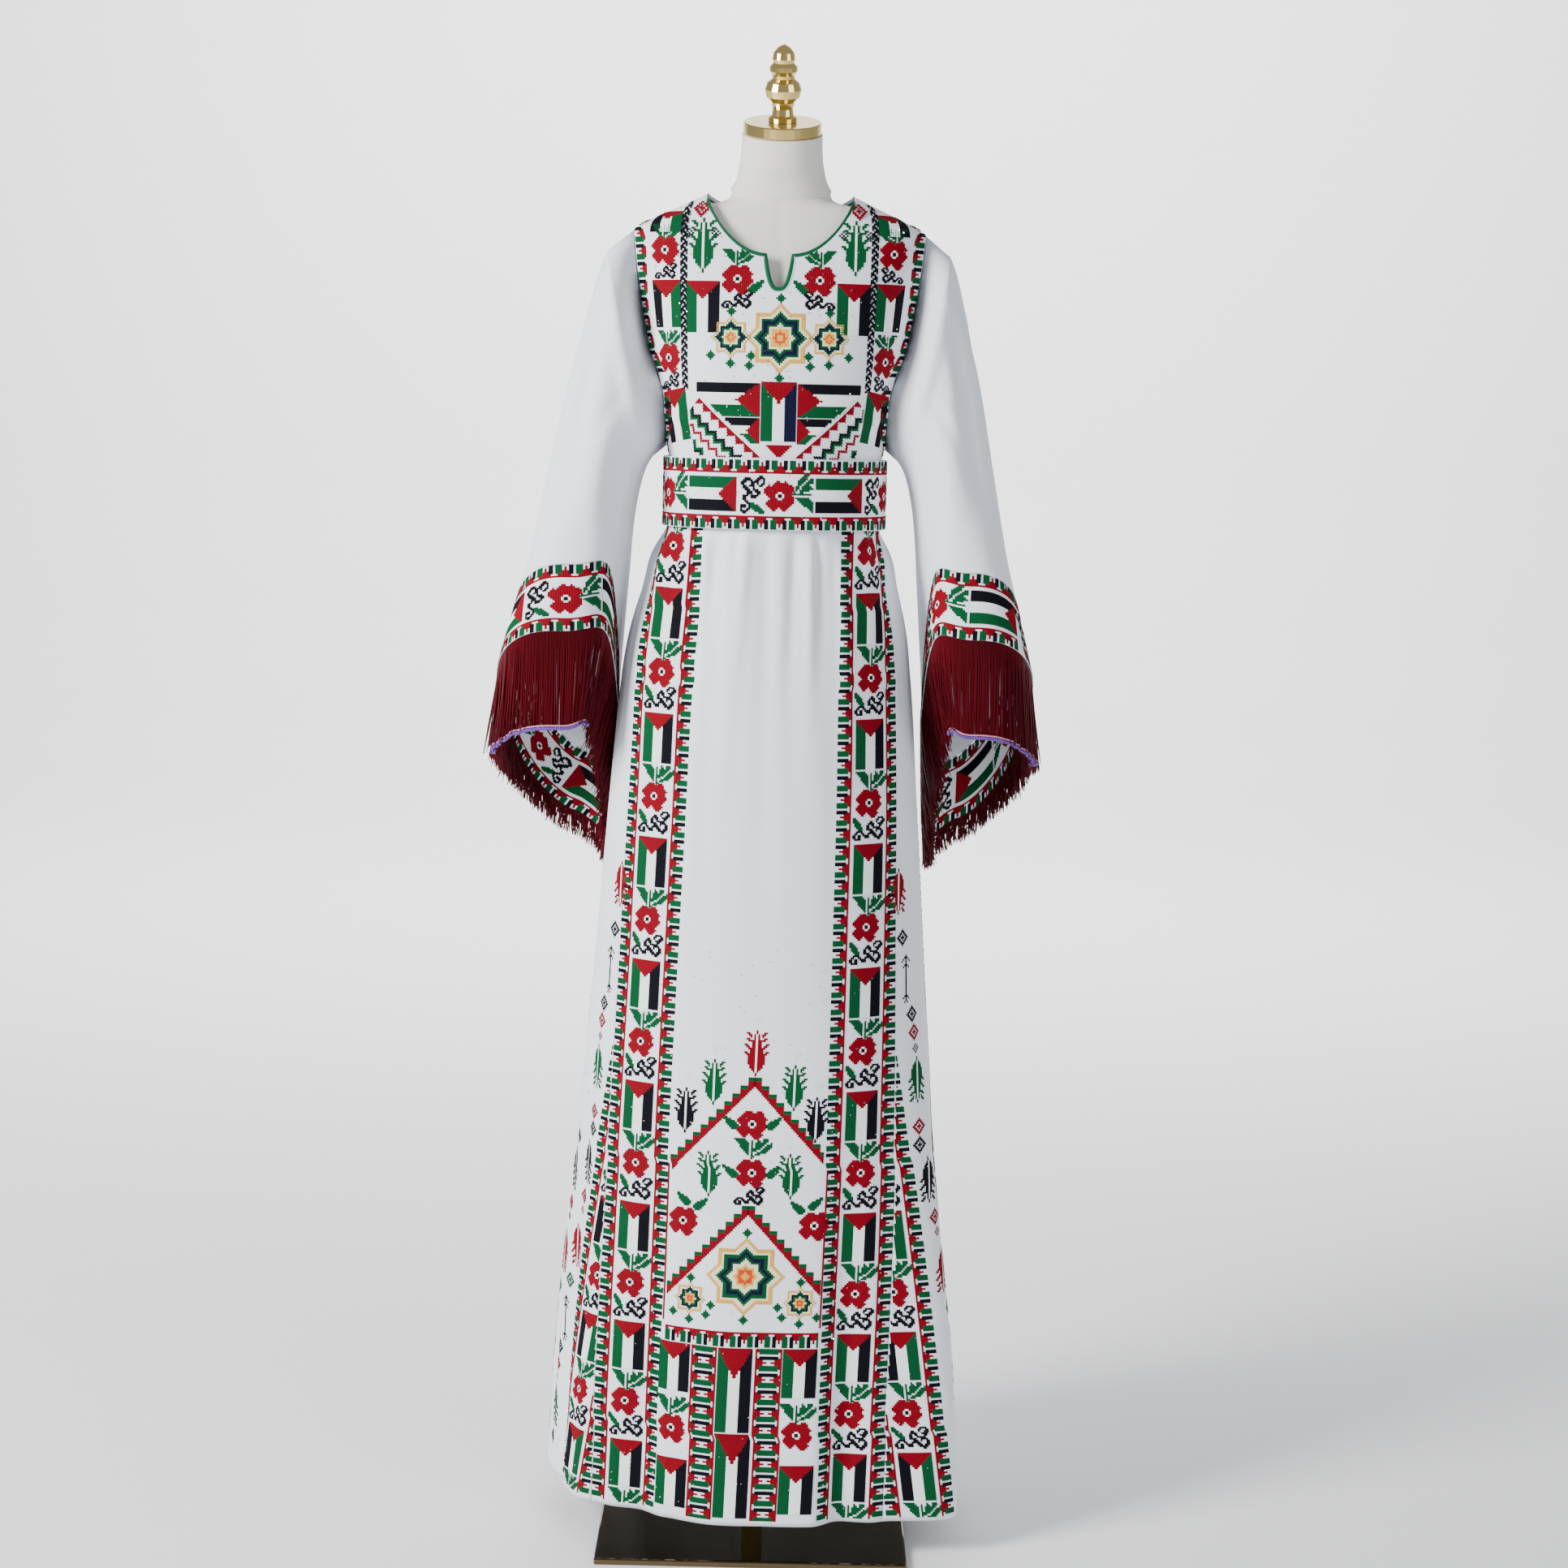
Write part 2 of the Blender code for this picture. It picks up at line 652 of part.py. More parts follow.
def sided(points, side):
    """The points of a ring on the +X side, or mirrored to the other with their order turned."""
    points = [tuple(p) for p in points]
    if side > 0:
        return points
    return [(-x, y, z) for x, y, z in reversed(points)]


def between(ring, other, share):
    return ring + (other - ring) * share


def seam_step(ring, down):
    """How far along the cloth to step over a seam so that its sides stay level with each other."""
    along = np.roll(ring, -1, axis=0) - np.roll(ring, 1, axis=0)
    along /= np.linalg.norm(along, axis=1)[:, None]
    slant = np.abs((along * down).sum(axis=1))
    return (2.4 * SEAM_GAP / np.sqrt(1 - np.minimum(slant, 0.95) ** 2))[:, None]


def make_sleeve(side, label):
    bearings = even_bearings(SLEEVE_COLUMNS)
    grid = [sided(ring, side) for ring in sleeve_rings(bearings, label)]
    cloth_wall("sleeve_" + label, grid, True, "white_crepe")
    top, bottom = (sleeve_ring(row, bearings, label) for row in (SLEEVE_RINGS[-1], MOUTH_RING))
    down_cuff = bottom - top
    length = np.linalg.norm(down_cuff, axis=1)[:, None]
    start = seam_step(top, down_cuff / length) / length
    cuff = [sided(between(top, bottom, share), side) for share in (start, 0.5, 1.0)]
    cloth_wall("cuff_" + label, cuff, True, "white_crepe", CUFF_CLOTH)


def strand_lean(bearing, length):
    """How far a strand's end swings sideways from its root: out, away from the skirt, and back."""
    c, s = math.cos(bearing), math.sin(bearing)
    out = 0.12 * max(0.0, c) + 0.26 * max(0.0, -c)
    back = 0.10 * max(0.0, s) - 0.035 * max(0.0, -s)
    return np.array([out, back, 0.0]) * length


def split_evenly(ring, parts_each):
    """A ring's sides, each split into equal lengths."""
    shares = np.linspace(0, 1, parts_each, endpoint=False)
    return np.array([between(a, b, t) for a, b in zip(ring, np.roll(ring, -1, axis=0)) for t in shares])


def make_fringe(side, label):
    """A narrow strip under the cuff's edge, with a hanging strand grown from every other face of its underside."""
    bearings = even_bearings(SLEEVE_COLUMNS)
    mouth = sleeve_ring(MOUTH_RING, bearings, label)
    down_cuff = mouth - sleeve_ring(SLEEVE_RINGS[-1], bearings, label)
    down_cuff /= np.linalg.norm(down_cuff, axis=1)[:, None]
    along = np.roll(mouth, -1, axis=0) - np.roll(mouth, 1, axis=0)
    inward = np.cross(along, down_cuff)
    inward *= np.sign(((mouth.mean(axis=0) - mouth) * inward).sum(axis=1))[:, None]
    inward /= np.linalg.norm(inward, axis=1)[:, None]
    top_outer = mouth + down_cuff * seam_step(mouth, down_cuff)
    bottom_outer = top_outer + down_cuff * FRINGE_STRIP
    coarse = [top_outer, bottom_outer, bottom_outer + inward * FRINGE_THICK, top_outer + inward * FRINGE_THICK]
    parts_each = 2 * FRINGE_STRANDS // SLEEVE_COLUMNS
    rings = [split_evenly(ring, parts_each) for ring in coarse]
    bearings = even_bearings(2 * FRINGE_STRANDS)
    down = np.array([0.0, 0.0, -1.0])
    count = len(bearings)
    points = [tuple(p) for ring in rings for p in ring]
    faces = []
    for j in range(count):
        right = (j + 1) % count
        a, b, c, d = (k * count for k in range(4))
        faces.append((a + j, b + j, b + right, a + right))
        faces.append((c + j, d + j, d + right, c + right))
        faces.append((d + j, a + j, a + right, d + right))
        if j % 2:
            faces.append((b + j, c + j, c + right, b + right))
            continue
        root = [b + j, c + j, c + right, b + right]
        bearing = (bearings[j] + bearings[right]) / 2 if right else bearings[j]
        length = eased(FRINGE_LENGTHS, math.degrees(bearing))
        lean = strand_lean(bearing, length)
        roots = np.array([points[k] for k in root])
        centre = roots.mean(axis=0)
        fall = math.sqrt(length ** 2 - float(lean @ lean))
        centre_end = centre + lean + down * fall
        ends = centre_end + (roots - centre) * 0.62
        ends[:, 2] = centre_end[2]
        first = len(points)
        points += [tuple(p) for p in ends]
        tip = [first + k for k in range(4)]
        faces.append(tuple(tip))
        for k in range(4):
            n = (k + 1) % 4
            faces.append((root[k], root[n], tip[n], tip[k]))
    if side < 0:
        points = [(-x, y, z) for x, y, z in points]
    obj = new_object("fringe_" + label, points, faces, "burgundy_thread")
    shape = bmesh.new()
    shape.from_mesh(obj.data)
    bmesh.ops.recalc_face_normals(shape, faces=shape.faces)
    shape.to_mesh(obj.data)
    shape.free()
    return obj


# The belt

def make_belt():
    """A stiff closed band round the waist, a little apart from the gathered cloth."""
    count = 44
    grid = []
    for share in (0.0, 0.5, 1.0):
        height = BELT_TOP + (BELT_BOTTOM - BELT_TOP) * share
        section = oval(np.array(even_bearings(count)), BELT_HALF_WIDTH, BELT_FRONT, BELT_BACK, BODICE_POWER)
        grid.append([(x, y, height) for x, y in section])
    return cloth_wall("belt", grid, True, "white_crepe", BELT_CLOTH)


# The dress form and its stand

def make_form():
    count = 28
    rings = []
    for height, half, front, back, shift in FORM_SECTIONS:
        section = oval(np.array(even_bearings(count)), half, front, back, 2.1)
        tilt = math.tan(NECK_TILT) if height == NECK_TOP else 0.0
        rings.append([(x, y + shift, height + y * tilt) for x, y in section])
    return solid_loft("form_torso", rings, "linen")


def neck_frame():
    """The place and tilt of the neck's flat top."""
    shift = FORM_SECTIONS[-1][4]
    return Matrix.Translation((0, shift, NECK_TOP)) @ Matrix.Rotation(NECK_TILT, 4, "X")


def place_along_neck(obj, lift):
    obj.matrix_world = neck_frame() @ Matrix.Translation((0, 0, lift))


def make_neck_cap():
    bpy.ops.mesh.primitive_cylinder_add(vertices=40, radius=CAP_RADIUS, depth=CAP_THICK)
    cap = bpy.context.object
    cap.name = "neck_cap"
    place_along_neck(cap, SEAM_GAP + CAP_THICK / 2 + 0.0004)
    edge = cap.modifiers.new("edge", "BEVEL")
    edge.width = 0.0012
    edge.segments = 1
    edge.limit_method = "ANGLE"
    move_to_parts(cap)
    return finish_object(cap, "brass")


def make_finial():
    """A turned knob: its profile runs down its outer side from the tip."""
    profile = sorted(FINIAL_PROFILE, reverse=True)
    points = [(radius, 0.0, height) for height, radius in profile] + [(0.0, 0.0, 0.0)]
    mesh = bpy.data.meshes.new("finial")
    mesh.from_pydata(points, [(k, k + 1) for k in range(len(points) - 1)], [])
    finial = bpy.data.objects.new("finial", mesh)
    parts.objects.link(finial)
    screw = finial.modifiers.new("turn", "SCREW")
    screw.steps = 20
    screw.render_steps = 20
    screw.use_merge_vertices = True
    screw.merge_threshold = 0.00005
    screw.use_smooth_shade = True
    place_along_neck(finial, 2 * SEAM_GAP + CAP_THICK + 0.0004)
    finial.data.materials.append(material("brass"))
    return finial


def make_stand():
    bpy.ops.mesh.primitive_cube_add(size=1.0)
    plate = bpy.context.object
    plate.name = "base_plate"
    plate.data.transform(Matrix.Diagonal((PLATE_SIDE, PLATE_SIDE, PLATE_THICK, 1.0)))
    plate.location = (0, 0, PLATE_THICK / 2)
    edge = plate.modifiers.new("edge", "BEVEL")
    edge.width = 0.002
    edge.segments = 2
    move_to_parts(plate)
    finish_object(plate, "brass")

    flange_bottom = PLATE_THICK + SEAM_GAP
    flange_top = flange_bottom + POLE_FLANGE_THICK
    pole_top = FORM_BOTTOM - SEAM_GAP
    profile = [(POLE_RADIUS, pole_top), (POLE_RADIUS, flange_top + 0.004), (POLE_RADIUS + 0.004, flange_top),
               (POLE_FLANGE_RADIUS - 0.002, flange_top), (POLE_FLANGE_RADIUS, flange_top - 0.002),
               (POLE_FLANGE_RADIUS, flange_bottom)]
    points = [(0, 0, pole_top)] + [(r, 0, z) for r, z in profile] + [(0, 0, flange_bottom)]
    mesh = bpy.data.meshes.new("stand_pole")
    mesh.from_pydata(points, [(k, k + 1) for k in range(len(points) - 1)], [])
    pole = bpy.data.objects.new("stand_pole", mesh)
    parts.objects.link(pole)
    screw = pole.modifiers.new("turn", "SCREW")
    screw.steps = 24
    screw.render_steps = 24
    screw.use_merge_vertices = True
    screw.merge_threshold = 0.00005
    pole.data.materials.append(material("brass"))
    return pole


def move_to_parts(obj):
    for collection in list(obj.users_collection):
        collection.objects.unlink(obj)
    parts.objects.link(obj)


def clear_scene():
    for obj in list(bpy.data.objects):
        bpy.data.objects.remove(obj, do_unlink=True)


clear_scene()
parts = bpy.data.collections.new("thobe_on_dress_form")
bpy.context.scene.collection.children.link(parts)

make_stand()
make_form()
make_neck_cap()
make_finial()
make_skirt()
make_bodice()
make_neck_binding()
make_belt()
for side_sign, side_label in ((1, "right"), (-1, "left")):
    make_sleeve(side_sign, side_label)
    make_fringe(side_sign, side_label)
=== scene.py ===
"""The look of an embroidered thobe dress on a dress form: cloth, stitching, fringe, form and brass stand.

Metres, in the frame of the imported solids. Stations run along the cloth from the front's middle, +X positive.
"""
import functools
import math
import random

import bpy
import numpy as np
from mathutils import Matrix, Vector


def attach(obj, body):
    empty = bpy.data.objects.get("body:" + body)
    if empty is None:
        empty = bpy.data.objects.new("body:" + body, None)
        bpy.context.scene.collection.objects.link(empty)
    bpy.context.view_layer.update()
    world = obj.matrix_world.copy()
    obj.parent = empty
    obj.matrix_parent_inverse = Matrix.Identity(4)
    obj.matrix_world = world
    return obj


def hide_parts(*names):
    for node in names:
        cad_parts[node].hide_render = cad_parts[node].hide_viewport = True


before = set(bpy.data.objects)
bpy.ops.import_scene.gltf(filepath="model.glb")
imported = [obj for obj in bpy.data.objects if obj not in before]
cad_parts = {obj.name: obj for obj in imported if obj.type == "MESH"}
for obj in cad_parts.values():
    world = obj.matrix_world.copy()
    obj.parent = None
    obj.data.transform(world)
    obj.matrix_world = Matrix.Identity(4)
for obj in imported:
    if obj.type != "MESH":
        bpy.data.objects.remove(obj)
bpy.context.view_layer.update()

# Driving sizes, the same as the solids have
HEM_HEIGHT = 0.045
WAIST_HEIGHT = 1.224
SEAM_GAP = 0.0003
BELT_BOTTOM = 1.184
BELT_TOP = 1.263
BELT_HALF_WIDTH = 0.1285
BELT_FRONT = 0.1035
BELT_BACK = 0.0985
CENTRE_STRIP_TOP = 0.081
CENTRE_STRIP_HEM = 0.098
BAND_WIDTH = 0.084
UNDERARM_HEIGHT = 1.274
NECK_SIDE = 0.083
NECK_SIDE_HEIGHT = 1.560
SHOULDER_TIP = 0.1665
SHOULDER_TIP_HEIGHT = 1.519
NOTCH_HALF = 0.0145
NOTCH_BOTTOM = 1.452
NECK_FRONT_HEIGHT = 1.490
NECK_BACK_HEIGHT = 1.544
CENTRE_DRIFT = -0.024
SKIRT_SHIFT = -0.005
SKIRT_POWER = 2.15
BODICE_POWER = 2.3
GATHER_START = 0.095
NECK_TOP = 1.628
NECK_TILT = math.radians(16)
MOUTH_RING = (0.304, 1.066, 0.1570, 1.064, 0.120, 0.026, 1.00)
SLEEVE_SWING = {"right": 0.002, "left": 0.015}
SLEEVE_POWER = 2.5
SHIFT_RUN = 0.200
GORE_TOP = 0.610
GORE_HEM = 0.090
SIDE_TOP = 0.060
SIDE_GROWTH = 0.075
ROUND_BELOW = 1.462

# The shoulder seam: distance from the middle, height
SHOULDER_LINE = [
    (NECK_SIDE, NECK_SIDE_HEIGHT), (0.105, 1.5495), (0.133, 1.5365), (SHOULDER_TIP, SHOULDER_TIP_HEIGHT),
]

# The highest level of the bodice's surfaces, the cloth's thickness, the roundness of the form's sections
BODICE_TOP = 1.5618
CLOTH_THICKNESS = 0.0012
FORM_POWER = 2.1

# The neckline, where stitches end: station, height
NECK_LINE = [(0, 1.450), (0.0145, 1.489), (0.03, 1.494), (0.06, 1.515), (0.085, 1.552), (0.10, 1.56)]

# Bearings round a sleeve's ring, ordered so that the walls face outwards on the +X side
RING_BEARINGS = [2 * math.pi * k / 168 - math.pi for k in range(168)]

# The length of the fringe: bearing in degrees, length
FRINGE_LENGTHS = [
    (-180, 0.085), (-135, 0.112), (-90, 0.112), (-45, 0.112), (0, 0.092), (45, 0.045), (90, 0.032),
    (135, 0.034), (180, 0.085),
]

# Sections of the form: height, half width, reach to the front, reach to the back, shift of the middle
FORM_SECTIONS = [
    (0.9, 0.138, 0.092, 0.098, 0.0), (0.925, 0.15, 0.102, 0.11, 0.0), (1.0, 0.154, 0.106, 0.118, 0.0),
    (1.06, 0.142, 0.099, 0.11, 0.0), (1.142, 0.121, 0.088, 0.092, 0.0), (1.212, 0.108, 0.081, 0.08, 0.0),
    (1.272, 0.113, 0.085, 0.083, 0.0), (1.332, 0.125, 0.1, 0.087, 0.0), (1.372, 0.132, 0.107, 0.089, 0.0),
    (1.412, 0.139, 0.101, 0.089, 0.0), (1.452, 0.147, 0.087, 0.085, 0.0),
    (1.487, 0.152, 0.072, 0.077, 0.0), (1.51, 0.147, 0.061, 0.067, 0.0),
    (1.527, 0.131, 0.054, 0.059, 0.0), (1.5458, 0.106, 0.0444, 0.0535, 0.0),
    (1.55, 0.074, 0.044, 0.05, -0.001), (1.568, 0.056, 0.045, 0.0495, -0.003),
    (1.592, 0.048, 0.0475, 0.0475, -0.008), (1.628, 0.0455, 0.0455, 0.0455, -0.014),
]

# Sections of the bodice: height, half width, reach to the front, reach to the back
BODICE_SECTIONS = [
    (1.224, 0.12, 0.095, 0.091), (1.262, 0.1225, 0.0975, 0.0925), (1.312, 0.133, 0.108, 0.096),
    (1.357, 0.143, 0.117, 0.099), (1.402, 0.152, 0.114, 0.099), (1.442, 0.16, 0.102, 0.096),
    (1.482, 0.168, 0.087, 0.09), (1.512, 0.17, 0.072, 0.078), (1.524, 0.16, 0.066, 0.071),
    (1.537, 0.133, 0.061, 0.065), (1.55, 0.105, 0.057, 0.06), (1.562, 0.08, 0.054, 0.057),
]

# The armhole seam: height, distance from the middle
ARMHOLE = [
    (1.274, 0.125), (1.312, 0.1265), (1.338, 0.1295), (1.361, 0.137), (1.387, 0.1455), (1.414, 0.1515),
    (1.467, 0.16), (1.519, 0.1665),
]

# Sections of the skirt: height, half width, reach to the front, reach to the back, turn in degrees
SKIRT_SECTIONS = [
    (1.2237, 0.12, 0.095, 0.091, 0.0), (1.182, 0.1228, 0.0975, 0.093, 0.0),
    (1.146, 0.138, 0.106, 0.103, 0.0), (1.119, 0.144, 0.112, 0.111, 0.0),
    (1.062, 0.1585, 0.121, 0.125, -0.5), (1.006, 0.1665, 0.126, 0.134, -1.0),
    (0.882, 0.1775, 0.132, 0.143, -1.5), (0.77, 0.186, 0.137, 0.15, -2.5),
    (0.658, 0.194, 0.141, 0.156, -3.5), (0.546, 0.2035, 0.145, 0.162, -4.5),
    (0.434, 0.212, 0.149, 0.168, -5.5), (0.322, 0.2215, 0.153, 0.173, -6.5),
    (0.21, 0.2305, 0.157, 0.178, -7.5), (0.098, 0.2365, 0.161, 0.182, -8.5),
    (0.045, 0.2395, 0.163, 0.184, -9.0),
]

# Folds of the skirt: bearing in degrees from the front towards +X, half breadth in degrees,
# depth at its fullest (a ridge is positive), height where it is fullest, height where it has faded
SKIRT_FOLDS = [
    (-3, 13, 0.006, 0.045, 0.7), (33, 11, -0.016, 0.045, 0.62), (65, 20, 0.04, 0.045, 0.8),
    (92, 10, -0.006, 0.045, 0.7), (-26, 10, -0.01, 0.045, 0.64), (-47, 11, 0.007, 0.045, 0.6),
    (-68, 10, -0.009, 0.045, 0.8), (-92, 12, 0.01, 0.045, 0.95), (112, 13, 0.014, 0.045, 0.95),
    (133, 12, -0.012, 0.045, 0.9), (154, 13, 0.013, 0.045, 1.0), (178, 12, -0.012, 0.045, 0.95),
    (-157, 13, 0.013, 0.045, 1.0), (-136, 11, -0.011, 0.045, 0.9), (-114, 12, 0.012, 0.045, 0.9),
    (-27, 7, -0.0045, 1.15, 0.86), (-13, 6, 0.0035, 1.14, 0.8), (10, 7, -0.003, 1.15, 0.78),
    (22, 6, -0.0045, 1.155, 0.88), (33, 6, 0.003, 1.13, 0.86), (-62, 8, 0.003, 1.12, 0.9),
    (70, 8, -0.003, 1.12, 0.9), (105, 7, -0.004, 1.14, 0.9), (125, 7, -0.0045, 1.14, 0.86),
    (146, 7, -0.005, 1.14, 0.82), (168, 7, -0.005, 1.14, 0.8), (-168, 7, -0.005, 1.14, 0.8),
    (-146, 7, -0.005, 1.14, 0.82), (-125, 7, -0.0045, 1.14, 0.86), (-105, 7, -0.004, 1.14, 0.9),
]

# Rings of the hanging sleeve: outer point (x, z), inner point (x, z), half depth,
# shift of the middle to the back, share of the mouth's slant
SLEEVE_RINGS = [
    (0.194, 1.496, 0.141, 1.262, 0.08, 0.004, 0.0), (0.211, 1.445, 0.15, 1.246, 0.086, 0.008, 0.0),
    (0.224, 1.384, 0.156, 1.226, 0.09, 0.01, 0.03), (0.239, 1.314, 0.16, 1.202, 0.095, 0.013, 0.1),
    (0.256, 1.239, 0.16, 1.178, 0.1, 0.016, 0.32), (0.27, 1.186, 0.159, 1.158, 0.106, 0.019, 0.65),
    (0.285, 1.141, 0.1585, 1.139, 0.112, 0.022, 1.0),
]

# How much lower than its front the mouth is: bearing in degrees (0 outer side, 90 back, 180 body side), drop
MOUTH_DROP = [
    (-180, 0.105), (-135, 0.004), (-90, 0.0), (-45, 0.02), (0, 0.076), (45, 0.172), (90, 0.236),
    (135, 0.262), (180, 0.105),
]

# Folds of a sleeve: bearing, half breadth in degrees, depth, share of the length where it is fullest
SLEEVE_FOLDS = [
    (-32, 20, 0.006, 0.45), (-62, 18, -0.008, 0.4), (-92, 18, 0.006, 0.55), (-122, 16, -0.005, 0.6),
    (28, 20, 0.006, 0.5), (58, 18, -0.008, 0.45), (92, 20, 0.007, 0.55), (126, 16, -0.006, 0.6),
]


def eased(table, at, column=1):
    """A smooth value read from a table sorted by its first column."""
    keys = np.array([row[0] for row in table], float)
    values = np.array([row[column] for row in table], float)
    if keys[0] > keys[-1]:
        keys, values = keys[::-1], values[::-1]
    steps = np.diff(values) / np.diff(keys)
    slopes = np.concatenate([[steps[0]], (steps[:-1] + steps[1:]) / 2, [steps[-1]]])
    flat = np.concatenate([[False], steps[:-1] * steps[1:] <= 0, [False]])
    slopes[flat] = 0.0
    at = np.clip(at, keys[0], keys[-1])
    i = np.clip(np.searchsorted(keys, at) - 1, 0, len(keys) - 2)
    width = keys[i + 1] - keys[i]
    t = (at - keys[i]) / width
    rise = values[i + 1] - values[i]
    start, end = slopes[i] * width, slopes[i + 1] * width
    return values[i] + t * (start + t * (3 * rise - 2 * start - end + t * (start + end - 2 * rise)))


def bump(distance, half):
    """1 at its middle, falling smoothly to 0 at half on either side."""
    near = np.clip(1 - np.abs(distance) / half, 0, 1)
    return near * near * (3 - 2 * near)


def turned_apart(a, b):
    """The difference of two bearings in degrees, from -180 to 180."""
    return (a - b + 180) % 360 - 180


def oval(bearings, half_width, front, back, power):
    """Points of an oval section; bearing 0 is the front, 90 degrees is +X."""
    s, c = np.sin(bearings), np.cos(bearings)
    x = half_width * np.copysign(np.abs(s) ** (2 / power), s)
    y = -np.where(c > 0, front, back) * np.copysign(np.abs(c) ** (2 / power), c)
    return np.stack([x, y], axis=-1)


def lengths_along(points):
    """The distance along a line from its first point to each of its points."""
    return np.concatenate([[0], np.cumsum(np.linalg.norm(np.diff(points, axis=0), axis=1))])


def unit(vectors):
    """Vectors of length one."""
    return vectors / np.maximum(np.linalg.norm(vectors, axis=-1, keepdims=True), 1e-12)


def smoothed(line, times):
    """The points of a line averaged with their neighbours, its ends left alone."""
    for _ in range(times):
        line[1:-1] = (line[:-2] + 2 * line[1:-1] + line[2:]) / 4
    return line


def down_share(height):
    """0 at the waist, 1 at the hem."""
    return (WAIST_HEIGHT - height) / (WAIST_HEIGHT - HEM_HEIGHT)


def skirt_outline(height, samples=720):
    """Points round the skirt at a height, counter-clockwise from the front's middle line."""
    half, front, back, turn = (eased(SKIRT_SECTIONS, height, k) for k in (1, 2, 3, 4))
    bearings = 2 * math.pi * np.arange(samples) / samples - math.pi
    degrees = np.degrees(bearings)
    push = np.zeros(samples)
    for middle, breadth, depth, fullest, faded in SKIRT_FOLDS:
        rise = bump(height - fullest, abs(faded - fullest))
        push += depth * rise * bump(turned_apart(degrees, middle), breadth)
    push *= 1 - bump(min(height, WAIST_HEIGHT) - WAIST_HEIGHT, GATHER_START)
    points = oval(bearings, half, front, back, SKIRT_POWER)
    points *= 1 + (push / np.linalg.norm(points, axis=1))[:, None]
    angle = math.radians(turn)
    points = points @ np.array([[math.cos(angle), math.sin(angle)], [-math.sin(angle), math.cos(angle)]])
    points[:, 0] += SKIRT_SHIFT * min(1.0, (WAIST_HEIGHT - height) / SHIFT_RUN)
    drift = CENTRE_DRIFT * (WAIST_HEIGHT - height) / WAIST_HEIGHT
    front_side = np.where(points[:, 1] < 0, np.abs(points[:, 0] - drift), 1.0)
    return np.roll(points, -int(np.argmin(front_side)), axis=0)


def gore_width(height):
    """The breadth of the side band that comes out from under the front band towards the hem."""
    return GORE_HEM * np.maximum(0.0, (GORE_TOP - height) / (GORE_TOP - HEM_HEIGHT))


def strip_half(height):
    """The half width of the plain strip between the front's bands."""
    return CENTRE_STRIP_TOP + (CENTRE_STRIP_HEM - CENTRE_STRIP_TOP) * down_share(height)


def skirt_seams(height):
    """Where the front panel ends and where the side panel ends, along the cloth."""
    front_seam = strip_half(height) + BAND_WIDTH
    return front_seam, front_seam + gore_width(height) + (SIDE_TOP + SIDE_GROWTH * down_share(height))


def bodice_size(height, front):
    """The half width of the bodice's section and its reach to the front or to the back."""
    return eased(BODICE_SECTIONS, height, 1), eased(BODICE_SECTIONS, height, 2 if front else 3)


@functools.lru_cache(maxsize=None)
def bodice_quarter(height, front):
    """Distances from the middle plane on a quarter of the section, with the lengths along it."""
    half, reach = bodice_size(height, front)
    points = oval(np.linspace(0, math.pi / 2, 240), half, reach, reach, BODICE_POWER)
    return points[:, 0], lengths_along(points)


def bodice_depth(x, height, front):
    """How far the bodice reaches from its middle plane at a place."""
    half, reach = bodice_size(height, front)
    inside = max(0.0, 1 - min(1.0, abs(x) / half) ** BODICE_POWER)
    return reach * inside ** (1 / BODICE_POWER)


def station_of(x, height, front):
    """The distance along the bodice's section at a distance from its middle plane."""
    widths, along = bodice_quarter(height, front)
    return math.copysign(float(np.interp(abs(x), widths, along)), x)


def panel_half_width(height):
    """The half width of a bodice panel: the armhole seam above the underarm, the side seam below it."""
    half = eased(BODICE_SECTIONS, height, 1)
    return half if height <= UNDERARM_HEIGHT else min(half, eased(ARMHOLE, height))


def top_height(x, front):
    """The top edge of a bodice panel: the shoulder seam, or the neckline with its notch at the front."""
    x = abs(x)
    if x >= NECK_SIDE:
        return eased(SHOULDER_LINE, x)
    if not front:
        return NECK_BACK_HEIGHT + (NECK_SIDE_HEIGHT - NECK_BACK_HEIGHT) * (x / NECK_SIDE) ** 3
    if x <= NOTCH_HALF:
        return NOTCH_BOTTOM + (NECK_FRONT_HEIGHT - NOTCH_BOTTOM) * (x / NOTCH_HALF) ** 3
    share = (x - NOTCH_HALF) / (NECK_SIDE - NOTCH_HALF)
    rise = 0.5 * share ** 2 + 0.5 * (1 - math.sqrt(1 - share ** 2))
    return NECK_FRONT_HEIGHT + (NECK_SIDE_HEIGHT - NECK_FRONT_HEIGHT) * rise


def bodice_place(x_top, share_down, front):
    """A point of a bodice panel, by where its column starts at the top and how far down it is."""
    top = top_height(x_top, front)
    height = top + (WAIST_HEIGHT - top) * share_down
    share = abs(x_top) / SHOULDER_TIP
    straight = abs(x_top) + share * (panel_half_width(height) - panel_half_width(top))
    widths, along = bodice_quarter(height, front)
    edge = np.interp(panel_half_width(height), widths, along)
    round_side = float(np.interp(share, along / edge, widths))
    blend = 1 - bump(min(0.0, height - ROUND_BELOW), 0.110)
    x = min(straight + (round_side - straight) * blend, panel_half_width(height))
    on_shoulder_seam = abs(x_top) >= NECK_SIDE and share_down == 0
    depth = max(0.0 if on_shoulder_seam else bodice_depth(x, height, front), 0.75 * SEAM_GAP)
    return math.copysign(x, x_top), -depth if front else depth, height


